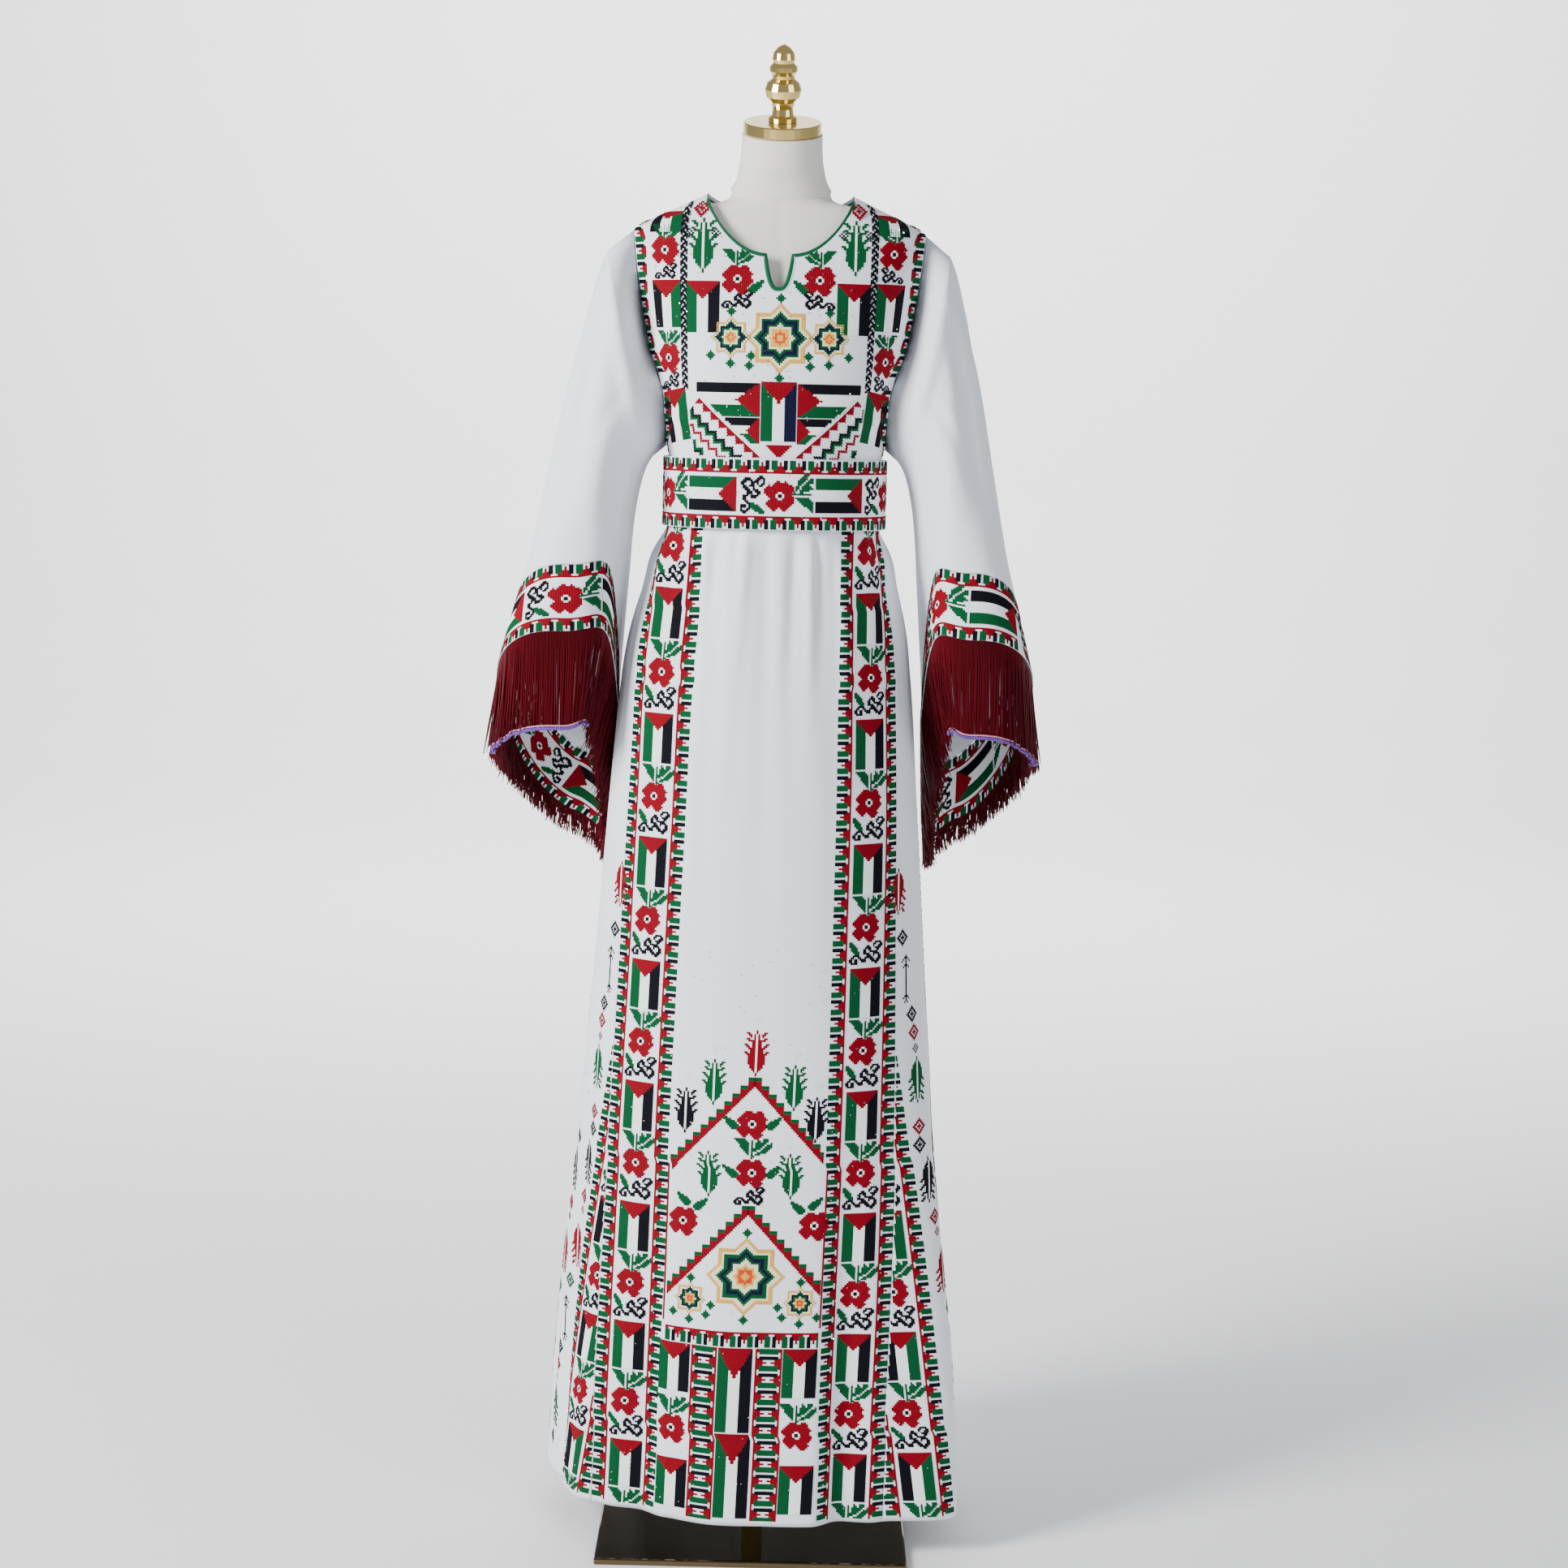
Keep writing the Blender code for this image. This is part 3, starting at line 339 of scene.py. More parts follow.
def armhole_ring(bearings):
    """The sleeve's first ring, on the armhole seam of both panels."""
    middle = (SHOULDER_TIP_HEIGHT + UNDERARM_HEIGHT) / 2
    half = (SHOULDER_TIP_HEIGHT - UNDERARM_HEIGHT) / 2 - 0.001
    ring = []
    for bearing in bearings:
        height = middle + half * math.cos(bearing)
        x = panel_half_width(height)
        depth = max(bodice_depth(x, height, bearing < 0), 0.004)
        y = depth * (1 if bearing > 0 else -1) * min(1.0, abs(math.sin(bearing)) * 2.5)
        ring.append((x + 3 * SEAM_GAP, y, height))
    return np.array(ring)


def sleeve_ring(row, bearings, label):
    """A ring of the hanging sleeve; bearing 0 is its outer side, 90 degrees its back."""
    outer_x, outer_z, inner_x, inner_z, depth, shift, slant = row
    fallen = (SHOULDER_TIP_HEIGHT - outer_z) / (SHOULDER_TIP_HEIGHT - MOUTH_RING[1])
    outer_x += SLEEVE_SWING[label] * fallen
    c, s = np.cos(bearings), np.sin(bearings)
    along, deep = (np.copysign(np.abs(part) ** (2 / SLEEVE_POWER), part) for part in (c, s))
    x = (outer_x + inner_x) / 2 + along * (outer_x - inner_x) / 2
    z = (outer_z + inner_z) / 2 + along * (outer_z - inner_z) / 2
    drop = slant * eased(MOUTH_DROP, np.degrees(bearings))
    clear = 0.020 * slant * np.maximum(0.0, -c) ** 2 * (1 + 0.6 * np.maximum(0.0, s))
    return np.stack([x + clear, shift + deep * depth, z - drop], axis=-1)


def sleeve_rings(label):
    """All the rings from the armhole to the top of the cuff, with the folds pressed in."""
    keys = [armhole_ring(RING_BEARINGS)] + [sleeve_ring(row, RING_BEARINGS, label) for row in SLEEVE_RINGS]
    rings = []
    last = len(keys) - 1
    for k in range(last):
        before, a, b, after = keys[max(k - 1, 0)], keys[k], keys[k + 1], keys[min(k + 2, last)]
        parts = 6 if k > 0 else 1
        for t in (part / parts for part in range(parts)):
            rings.append(0.5 * (2 * a + (b - before) * t + (2 * before - 5 * a + 4 * b - after) * t ** 2
                                + (3 * a - before - 3 * b + after) * t ** 3))
    rings.append(keys[-1])
    degrees = np.degrees(RING_BEARINGS)
    for number, ring in enumerate(rings):
        share = number / (len(rings) - 1)
        push = np.zeros(len(ring))
        for fold, breadth, depth, fullest in SLEEVE_FOLDS:
            push += depth * bump(turned_apart(degrees, fold), breadth) * bump(share - fullest, 0.45)
        ring += unit(ring - ring.mean(axis=0)) * (push * math.sin(math.pi * share))[:, None]
    return rings


def strand_lean(bearing, length):
    """How far a strand's end swings sideways from its root: out, away from the skirt, and back."""
    c, s = math.cos(bearing), math.sin(bearing)
    out = 0.05 * max(0.0, c) + 0.26 * max(0.0, -c)
    back = 0.10 * max(0.0, s) - 0.035 * max(0.0, -s)
    return np.array([out, back, 0.0]) * length


# Surfaces: fine grids of points, read between their points by a distance along the cloth and a row value

class Surface:
    """Rows of points evenly spaced along the cloth; stations start at column zero, or mid-row when open."""

    def __init__(self, levels, rows, closed, columns):
        self.levels = np.array(levels, float)
        self.order = np.argsort(self.levels)
        self.closed = closed
        points, lengths = [], []
        for row in rows:
            row = np.array(row, float)
            if closed:
                row = np.vstack([row, row[:1]])
            along = lengths_along(row)
            at = np.linspace(0, along[-1], columns + 1)
            even = np.stack([np.interp(at, along, row[:, k]) for k in range(3)], axis=-1)
            points.append(even[:-1] if closed else even)
            lengths.append(along[-1])
        self.points = np.array(points)
        self.lengths = np.array(lengths)
        self.normals = self.outward()

    def outward(self):
        """Unit normals that face away from the inside."""
        if self.closed:
            around = np.roll(self.points, -1, 1) - np.roll(self.points, 1, 1)
        else:
            around = np.gradient(self.points, axis=1)
        normals = unit(np.cross(around, np.gradient(self.points, axis=0)))
        middle = self.points.mean(axis=1, keepdims=True)
        return normals * np.sign((normals * (self.points - middle)).sum())

    def press(self, push):
        """Moves every point along its normal by push(stations, levels)."""
        lengths = self.lengths[:, None]
        if self.closed:
            stations = np.arange(self.points.shape[1]) / self.points.shape[1] * lengths
            stations = (stations + lengths / 2) % lengths - lengths / 2
        else:
            stations = (np.arange(self.points.shape[1]) / (self.points.shape[1] - 1) - 0.5) * lengths
        self.points = self.points + self.normals * push(stations, self.levels[:, None])[:, :, None]
        self.normals = self.outward()

    def length(self, level):
        return np.interp(level, self.levels[self.order], self.lengths[self.order])

    def at(self, s, level, lift=0.0):
        """Points at stations s and row values level, lifted off the cloth."""
        s, level = np.broadcast_arrays(np.asarray(s, float), np.asarray(level, float))
        row = np.interp(level, self.levels[self.order], self.order.astype(float))
        count = self.points.shape[1]
        share = s / self.length(level)
        column = (share % 1.0) * count if self.closed else np.clip(share + 0.5, 0, 1) * (count - 1)
        i = np.clip(np.floor(row).astype(int), 0, len(self.order) - 2)
        j = np.floor(column).astype(int)
        j = j % count if self.closed else np.clip(j, 0, count - 2)
        right = (j + 1) % count
        u, v = (column - np.floor(column) if self.closed else column - j)[..., None], (row - i)[..., None]

        def read(values):
            top = values[i, j] * (1 - u) + values[i, right] * u
            low = values[i + 1, j] * (1 - u) + values[i + 1, right] * u
            return top * (1 - v) + low * v

        return read(self.points) + read(self.normals) * np.asarray(lift)[..., None]

    def grid(self, levels, columns):
        """Rows of points all round the surface."""
        return [self.at(np.arange(columns) / columns * self.length(level), level) for level in levels]


def mesh_object(name, points, faces, materials, indices=None, smooth=True):
    mesh = bpy.data.meshes.new(name)
    mesh.from_pydata(np.asarray(points, float).reshape(-1, 3).tolist(), [], faces)
    mesh.update()
    for each in materials:
        mesh.materials.append(each)
    if indices is not None:
        mesh.polygons.foreach_set("material_index", np.asarray(indices, np.int32))
    if smooth:
        mesh.shade_smooth()
    obj = bpy.data.objects.new(name, mesh)
    bpy.context.scene.collection.objects.link(obj)
    return obj


def grid_faces(rows, columns, closed, turned=False):
    i, j = np.meshgrid(np.arange(rows - 1), np.arange(columns if closed else columns - 1), indexing="ij")
    right = (j + 1) % columns
    corners = [i * columns + j, (i + 1) * columns + j, (i + 1) * columns + right, i * columns + right]
    return np.stack(corners[::-1] if turned else corners, axis=-1).reshape(-1, 4).tolist()


def thicken(obj, thick):
    """A wall that grows inwards from the faces."""
    wall = obj.modifiers.new("wall", "SOLIDIFY")
    wall.thickness = thick
    wall.offset = -1.0


def cloth(name, node, grid, closed, thick=CLOTH_THICKNESS, turned=False):
    """A thin shell whose outer points are the grid's, riding on the root."""
    grid = np.asarray(grid)
    obj = mesh_object(name, grid, grid_faces(*grid.shape[:2], closed, turned), [crepe])
    thicken(obj, thick)
    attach(obj, "root")
    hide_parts(node)


# Materials

def nodes_of(name):
    """A new material with its nodes, links, shader and the object's coordinates."""
    made = bpy.data.materials.new(name)
    made.use_nodes = True
    nodes = made.node_tree.nodes
    place = nodes.new("ShaderNodeTexCoord").outputs["Object"]
    return made, nodes, made.node_tree.links, nodes["Principled BSDF"], place


def noise(nodes, links, place, scale, detail):
    made = nodes.new("ShaderNodeTexNoise")
    made.inputs["Scale"].default_value = scale
    made.inputs["Detail"].default_value = detail
    links.new(place, made.inputs["Vector"])
    return made.outputs["Fac"]


def woven(name, colour, roughness, threads=1100.0, depth=0.25, sheen=0.2, mottle=0.03, shine=0.4):
    """Cloth: a fine weave in the bump and a slight change of tone."""
    made, nodes, links, shader, place = nodes_of(name)
    ramp = nodes.new("ShaderNodeValToRGB")
    for element, tone in zip(ramp.color_ramp.elements, (1 - mottle, 1 + mottle)):
        element.color = (*(min(1.0, c * tone) for c in colour), 1)
    links.new(noise(nodes, links, place, 14.0, 4.0), ramp.inputs["Fac"])
    links.new(ramp.outputs["Color"], shader.inputs["Base Color"])
    bumps = nodes.new("ShaderNodeBump")
    bumps.inputs["Strength"].default_value = depth
    bumps.inputs["Distance"].default_value = 0.0004
    links.new(noise(nodes, links, place, threads, 2.0), bumps.inputs["Height"])
    links.new(bumps.outputs["Normal"], shader.inputs["Normal"])
    shader.inputs["Roughness"].default_value = roughness
    shader.inputs["Specular IOR Level"].default_value = shine
    shader.inputs["Sheen Weight"].default_value = sheen
    shader.inputs["Sheen Roughness"].default_value = 0.5
    return made


def polished(name, colour, roughness, wear=0.04):
    """Metal or glass whose roughness varies a little."""
    made, nodes, links, shader, place = nodes_of(name)
    spread = nodes.new("ShaderNodeMapRange")
    spread.inputs["To Min"].default_value = max(0.02, roughness - wear)
    spread.inputs["To Max"].default_value = roughness + wear
    links.new(noise(nodes, links, place, 22.0, 5.0), spread.inputs["Value"])
    links.new(spread.outputs["Result"], shader.inputs["Roughness"])
    shader.inputs["Base Color"].default_value = (*colour, 1)
    shader.inputs["Metallic"].default_value = 1.0
    return made


crepe = woven("crepe", (0.80, 0.835, 0.90), 0.75, sheen=0.1)
linen = woven("linen_cloth", (0.72, 0.70, 0.64), 0.85, threads=700.0, depth=0.4)
tape = woven("tape", (0.003, 0.085, 0.034), 0.6, sheen=0.0, shine=0.15)
silk = woven("silk_fringe", (0.095, 0.0, 0.005), 0.45, threads=500.0, sheen=0.0, mottle=0.35, shine=0.12)
violet = woven("violet_thread", (0.10, 0.02, 0.30), 0.5, threads=800.0, sheen=0.3, mottle=0.2)
pink = woven("pink_thread", (0.62, 0.24, 0.34), 0.5, threads=800.0, sheen=0.3, mottle=0.2)
pale_line = woven("pale_thread", (0.60, 0.74, 0.66), 0.6, threads=800.0)
crystal = polished("crystal", (0.85, 0.88, 0.92), 0.10)
brass = polished("polished_brass", (0.80, 0.60, 0.22), 0.12)
mirror = polished("dark_brass_mirror", (0.13, 0.095, 0.05), 0.06)


# The skirt

def skirt_surface():
    levels = np.linspace(WAIST_HEIGHT - SEAM_GAP, HEM_HEIGHT, 200)
    rows = [[(x, y, level) for x, y in skirt_outline(float(level))] for level in levels]
    return Surface(levels, rows, True, 720)


def gathers(stations, levels):
    """Pleats that come out from under the belt, different all round, and long soft folds below them."""
    chance = random.Random(7)
    push = np.zeros(np.broadcast(stations, levels).shape)
    below = np.maximum(BELT_BOTTOM - levels, 0.0)
    for k in range(-26, 27):
        long = k % 3 == 0
        s = k * 0.0235 + chance.uniform(-0.006, 0.006)
        breadth = chance.uniform(0.008, 0.014) * (1 + (2.4 if long else 0.8) * below)
        depth = chance.uniform(0.0022, 0.0044) * chance.choice((-1, 1))
        reach = chance.uniform(0.30, 0.75) if long else chance.uniform(0.08, 0.26)
        line = s * (1 + 0.30 * below) + chance.uniform(-0.03, 0.03) * below
        fade = np.clip(1 - below / reach, 0, 1) * np.clip((1.190 - levels) / 0.030, 0, 1)
        push += depth * bump(stations - line, breadth) * fade
    return push


skirt = skirt_surface()
skirt.press(gathers)


def skirt_cloth(name, node, step, edges):
    """A skirt panel; edges gives its two ends from the two seams and the length all round."""
    def ends(level):
        return edges(*skirt_seams(level), float(skirt.length(level)))

    widest = max(b - a for a, b in map(ends, (WAIST_HEIGHT, HEM_HEIGHT)))
    levels = np.linspace(WAIST_HEIGHT - SEAM_GAP, HEM_HEIGHT, 190)
    grid = [skirt.at(np.linspace(*ends(float(level)), int(widest / step)), level) for level in levels]
    cloth(name, node, grid, False)


def make_skirt():
    gap = 0.8 * SEAM_GAP
    skirt_cloth("front_cloth", "skirt_front", 0.0036,
                lambda seam, far, around: (gap - seam, seam - gap))
    skirt_cloth("side_cloth_right", "skirt_side_right", 0.0042,
                lambda seam, far, around: (seam + gap, far - gap))
    skirt_cloth("side_cloth_left", "skirt_side_left", 0.0042,
                lambda seam, far, around: (gap - far, -seam - gap))
    skirt_cloth("back_cloth", "skirt_back", 0.0055,
                lambda seam, far, around: (far + gap, around - (far + gap)))


# The bodice

def bodice_surface(front):
    levels = np.concatenate([np.linspace(WAIST_HEIGHT, 1.512, 110), np.linspace(1.5135, BODICE_TOP, 34)])
    bearings = np.linspace(-math.pi / 2, math.pi / 2, 300)
    rows = []
    for level in levels:
        half, reach = bodice_size(level, front)
        section = oval(bearings, half, reach, reach, BODICE_POWER)
        rows.append([(x, y if front else -y, level) for x, y in section])
    return Surface(levels, rows, False, 300)


def bodice_creases(stations, levels):
    """Slight pulls from the underarms towards the middle."""
    push = np.zeros(np.broadcast(stations, levels).shape)
    for side in (-1, 1):
        for start, fall, depth in ((0.030, 0.25, 0.0012), (0.062, 0.42, -0.0010), (0.10, 0.10, 0.0009)):
            line = UNDERARM_HEIGHT + start + fall * (side * stations - 0.11)
            push += depth * bump(levels - line, 0.012) * np.clip((side * stations - 0.03) / 0.09, 0, 1)
    return push


bodice_front = bodice_surface(True)
bodice_front.press(bodice_creases)
bodice_back = bodice_surface(False)


def bodice_cloth(name, node, front, surface):
    stations = np.unique(np.concatenate([
        np.linspace(-SHOULDER_TIP, SHOULDER_TIP, 77),
        [-NECK_SIDE, NECK_SIDE, -NOTCH_HALF, NOTCH_HALF, 0.0],
        np.linspace(-NOTCH_HALF, NOTCH_HALF, 9),
    ]))
    stations = stations if front else stations[::-1]
    keep_side = (lambda y: min(y, -SEAM_GAP)) if front else (lambda y: max(y, SEAM_GAP))
    grid = []
    for share in np.concatenate([[0, 0.003, 0.008], np.linspace(0.018, 1.0, 62)]):
        row = []
        for x_top in stations:
            x, y, level = bodice_place(float(x_top), float(share), front)
            if share >= 0.003:
                x, y, _ = surface.at(station_of(x, level, front), min(level, BODICE_TOP))
                y = keep_side(float(y))
            row.append((float(x), y, level))
        grid.append(row)
    cloth(name, node, grid, False)


def make_bodice():
    bodice_cloth("bodice_front_cloth", "bodice_front", True, bodice_front)
    bodice_cloth("bodice_back_cloth", "bodice_back", False, bodice_back)


# The sleeves

def sleeve_creases(stations, levels):
    push = np.zeros(np.broadcast(stations, levels).shape)
    chance = random.Random(11)
    for k in range(14):
        s = -0.30 + 0.045 * k + chance.uniform(-0.01, 0.01)
        depth = chance.uniform(0.0008, 0.0022) * chance.choice((-1, 1))
        middle = chance.uniform(0.25, 0.75)
        lean = chance.uniform(-0.08, 0.08)
        push += depth * bump(stations - s - lean * (levels - middle), 0.016) * bump(levels - middle, 0.35)
    return push


def sleeve_surface(side, label):
    rings = sleeve_rings(label)
    surface = Surface(np.linspace(0, 1, len(rings)), [ring * (side, 1, 1) for ring in rings], True, 240)
    surface.press(sleeve_creases)
    return surface


def cuff_surface(side, label):
    """The cuff, from 0 at its top to 1 at its edge."""
    top, bottom = (sleeve_ring(row, RING_BEARINGS, label) for row in (SLEEVE_RINGS[-1], MOUTH_RING))
    shares = (0, 0.25, 0.5, 0.75, 1)
    return Surface(shares, [(top + (bottom - top) * t) * (side, 1, 1) for t in shares], True, 240)


cuffs = {}


def make_sleeve(side, label):
    cloth("sleeve_cloth_" + label, "sleeve_" + label, sleeve_surface(side, label).points[:, ::2], True,
          turned=side < 0)
    cuffs[label] = cuff_surface(side, label)
    cloth("cuff_cloth_" + label, "cuff_" + label, cuffs[label].grid(np.linspace(0.008, 1, 12), 120), True,
          0.002, turned=side < 0)


# The belt

BELT_LEVELS = (BELT_TOP, (BELT_TOP + BELT_BOTTOM) / 2, BELT_BOTTOM)
belt_bearings = np.linspace(0, 2 * math.pi, 360, endpoint=False)
belt_section = oval(belt_bearings, BELT_HALF_WIDTH, BELT_FRONT, BELT_BACK, BODICE_POWER)
belt = Surface(BELT_LEVELS, [[(x, y, level) for x, y in belt_section] for level in BELT_LEVELS], True, 360)


def make_belt():
    cloth("belt_cloth", "belt", belt.grid(np.linspace(BELT_TOP, BELT_BOTTOM, 13), 180), True,
          0.0026)


# Cross stitch: charts of letters, one for each thread colour; a dot is bare cloth, and C any one thread

THREADS = {
    "R": (0.20, 0.0, 0.007),
    "G": (0.0, 0.070, 0.020),
    "K": (0.002, 0.002, 0.005),
    "W": (0.90, 0.91, 0.92),
    "Y": (0.80, 0.72, 0.50),
    "O": (0.66, 0.36, 0.06),
    "F": (0.60, 0.05, 0.008),
    "N": (0.003, 0.004, 0.026),
}

BORDER = """
.RRGGGGGG
.RRGGGGGG
.R.GGGGGG
.R.......
.R.KKKKKK
.RRKKKKKK
.RRRR....
.RRRRRR..
.RRRR....
"""

ROSE = """
....RRRR..RRR...
...RRRRRRRRRRR..
..RRRRRRRRRRRR..
.RRRRRRRRRRRRRR.
RRRRRRRRRRRRRRRR
RRRRRRRWWRRRRRR.
.RRRRRWKKWRRRRR.
..RRRRWKKWRRRRRR
.RRRRRRWWRRRRRRR
RRRRRRRRRRRRRRR.
RRRRRRRRRRRRRR..
.RRRRRRRRRRRR...
..RRRR.RRRRRRR..
...RR...RRRRR...
.........RRR....
"""

LEAVES = """
GGGGGG......G..GGG..
.GGGGGG..G..GG.GGG..
..GGGGGG.G.GGGGGG..G
...GGGGG.G.GGGGG.GGG
...GGGGG.G.GGGG.GGGG
....GGGG.GGGGG.GGGG.
.....GGG.GGG..GGGG..
......GG.G..GGGGG...
.......G.G.GGG......
.........GG.........
.........G..........
"""

CURL = """
GG.............KKKK.
GGG...........KK..KK
GGGG......KK..K..KKK
.GGGG....KKKK..KKKK.
.GGGG...KK.KK...KK..
..GGGG..KK..KKKKK...
...GGG..KKKK..KKKK..
..KKKK....KKK.K..KK.
.KK..KK..KKKKK...KK.
KK.KK.KKKK..KKK.KKK.
KK.KK..KKK...KKKKK..
.KKKK..........KK...
"""

SIDE_LEAF = """
GG......
GGGG....
.GGGGG..
.GGGGGG.
..GGGGGG
...GGGGG
....GGG.
"""

CYPRESS = """
......C......
.CC...C...CC.
..CC.CWC.CC..
...C.CWC.C...
.CC..CWC..CC.
..CCCCWCCCC..
....CCWCC....
CC..CCWCC..CC
.CC.CCWCC.CC.
..CCCCWCCCC..
...CCCWCCC...
CC.CCCWCCC.CC
.CCCCCWCCCCC.
..CCCCWCCCC..
..CCCCWCCCC..
..CCCCWCCCC..
..CCCCWCCCC..
..CCCCWCCCC..
...CCCWCCC...
...CCCWCCC...
....CCWCC....
.....CWC.....
......C......
......C......
"""

DIAMOND = """
....C....
...CCC...
..CC.CC..
.CC.C.CC.
CC.CCC.CC
.CC.C.CC.
..CC.CC..
...CCC...
....C....
"""

SMALL_DIAMOND = """
..C..
.C.C.
C.C.C
.C.C.
..C..
"""

ARROW = """
...C...
..CCC..
.C.C.C.
C..C..C
...C...
..CCC..
.C.C.C.
""" + "...C...\n" * 14 + """
..CCC..
.C.C.C.
...C...
..C.C..
"""

REPEAT = 65
CORE = 20
STITCH = 0.0022
SMALL_STITCH = 0.0018
ROW = 0.14126 / REPEAT
HEM_EDGE = 0.006
LIFT = 0.0004
RELIEF = 0.0004
BELT_START = 0.106
BELT_STITCH = 0.00215
CUFF_STITCH = 0.00212
CUFF_WIDTH = 0.0765
CUFF_LINING = -0.0024
CYPRESS_ROWS = 24
BODICE_MIDDLE = 0.003
POINT_HEIGHT = 1.264
POINT_HALF = 0.017


def chart(text, colour="C"):
    """Cells (across, down, thread) of a drawn chart, from its top middle."""
    rows = [row for row in text.split("\n") if row]
    return [(k + 0.5 - len(row) / 2, j + 0.5, colour if c == "C" else c)
            for j, row in enumerate(rows) for k, c in enumerate(row) if c != "."]


def moved(cells, across=0.0, down=0.0):
    return [(a + across, d + down, c) for a, d, c in cells]


def mirrored(cells):
    return [(-a, d, c) for a, d, c in cells]


def quarter_turn(cells):
    """Turned so that what pointed down points left."""
    return [(-d, -a, c) for a, d, c in cells]


def flag(across, down, first="G", last="K"):
    """Three stripes down its length below a red triangle that points down."""
    cells = []
    for j in range(down):
        for i in range(across):
            inside = abs(i + 0.5 - across / 2) <= across / 2 * (1 - j / (0.36 * down))
            letter = "R" if inside else (first, "W", last)[3 * i // across]
            cells.append((i + 0.5 - across / 2, j + 0.5, letter))
    return cells


def star(radius, colours):
    """Rings of eight-pointed stars inside each other."""
    cells = []
    for j in range(-radius, radius + 1):
        for i in range(-radius, radius + 1):
            ring = min(max(abs(i), abs(j)), (abs(i) + abs(j)) / 1.414) / (0.76 * radius)
            if ring <= 1:
                cells.append((i, j, colours[min(int(ring * len(colours)), len(colours) - 1)]))
    return [cell for cell in cells if cell[2] != "."]


def core_repeat(first, last):
    """One repeat of a band's core: flag, a pair of leaves, a rose, a leaf and a curl."""
    return (flag(18, 26, first, last) + moved(chart(LEAVES), 1, 27) + moved(chart(ROSE), -0.5, 36.5)
            + moved(chart(CURL), 0, 51))


def border_rows(start, count, edge, side, width=9):
    """Rows of a border that grows outwards from a core's edge; its pattern is fixed to row zero."""
    rows = [row[:width] for row in BORDER.split()]
    return [(side * (edge + k + 0.5), j + 0.5, c)
            for j in range(start, start + count) for k, c in enumerate(rows[j % len(rows)]) if c != "."]


def band(start, count, first="G", last="K", width=9):
    """A band of repeats with a border down each side, from row start."""
    repeat = core_repeat(first, last)
    cells = []
    for k in range(start // REPEAT, (start + count) // REPEAT + 1):
        cells += [cell for cell in moved(repeat, 0, k * REPEAT) if start <= cell[1] < start + count]
    for side in (1, -1):
        cells += border_rows(start, count, CORE / 2, side, width)
    return cells


class Stitching:
    """Cross stitches on one surface, made as one mesh with a material for each thread."""

    def __init__(self, name, surface):
        self.name, self.surface, self.lift = name, surface, LIFT
        self.points, self.threads = [], []

    def sew(self, cells, place, keep=None):
        """place turns distances across and down, in stitches, into stations and row values on the surface."""
        across, down = (np.array([cell[k] for cell in cells], float) for k in (0, 1))
        threads = np.array([list(THREADS).index(cell[2]) for cell in cells])
        if keep is not None:
            kept = keep(*place(across, down))
            across, down, threads = across[kept], down[kept], threads[kept]
        corners = np.array([(-0.5, -0.5), (0.5, -0.5), (0.5, 0.5), (-0.5, 0.5), (0, 0)])
        s, level = place(across[:, None] + corners[:, 0], down[:, None] + corners[:, 1])
        lift = self.lift + np.array([0, 0, 0, 0, RELIEF]) * math.copysign(1, self.lift)
        self.points.append(self.surface.at(s, level, np.broadcast_to(lift, s.shape)).reshape(-1, 3))
        self.threads.append(threads)

    def finish(self):
        points = np.vstack(self.points)
        threads = np.repeat(np.concatenate(self.threads), 4)
        first = np.arange(0, len(points), 5)[:, None, None]
        sides = np.array([(0, 1, 4), (1, 2, 4), (2, 3, 4), (3, 0, 4)])[None]
        faces = (first + sides).reshape(-1, 3).tolist()
        obj = mesh_object(self.name, points, faces, [thread(letter) for letter in THREADS], threads, False)
        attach(obj, "root")


@functools.lru_cache(maxsize=None)
def thread(letter):
    return woven("thread_" + letter, THREADS[letter], 0.7, threads=900.0, depth=0.5,
                 sheen=0.0, mottle=0.1, shine=0.1)


def straight(station, level, size=STITCH):
    """Places on a panel straight across and down from a point."""
    return lambda a, d: (station + a * size, level - d * size)


def stitch_skirt_bands():
    half = BAND_WIDTH / 2
    for side, label, top in ((1, "right", 1.1142), (-1, "left", 1.1157)):
        work = Stitching("band_stitches_" + label, skirt)
        first = -int((BELT_BOTTOM - top) / ROW) - 1
        rows = int((top - HEM_HEIGHT - 0.004) / ROW)

        def along(middle):
            """Places on a band whose middle is at the station given for each height."""
            return lambda a, d: (side * middle(top - d * ROW) + a * STITCH, top - d * ROW)

        work.sew(band(first, rows - first), along(lambda level: strip_half(level) + half))
        work.sew(band(240, rows - 240, "K", "G"),
                 along(lambda level: skirt_seams(level)[0] + gore_width(level) - 0.001 - half),
                 lambda s, level: np.abs(s) > skirt_seams(level)[0] + 0.0015)
        work.sew(band(first, rows - first, "K", "G"),
                 along(lambda level: skirt_seams(level)[1] + 0.001 + half))
        work.finish()


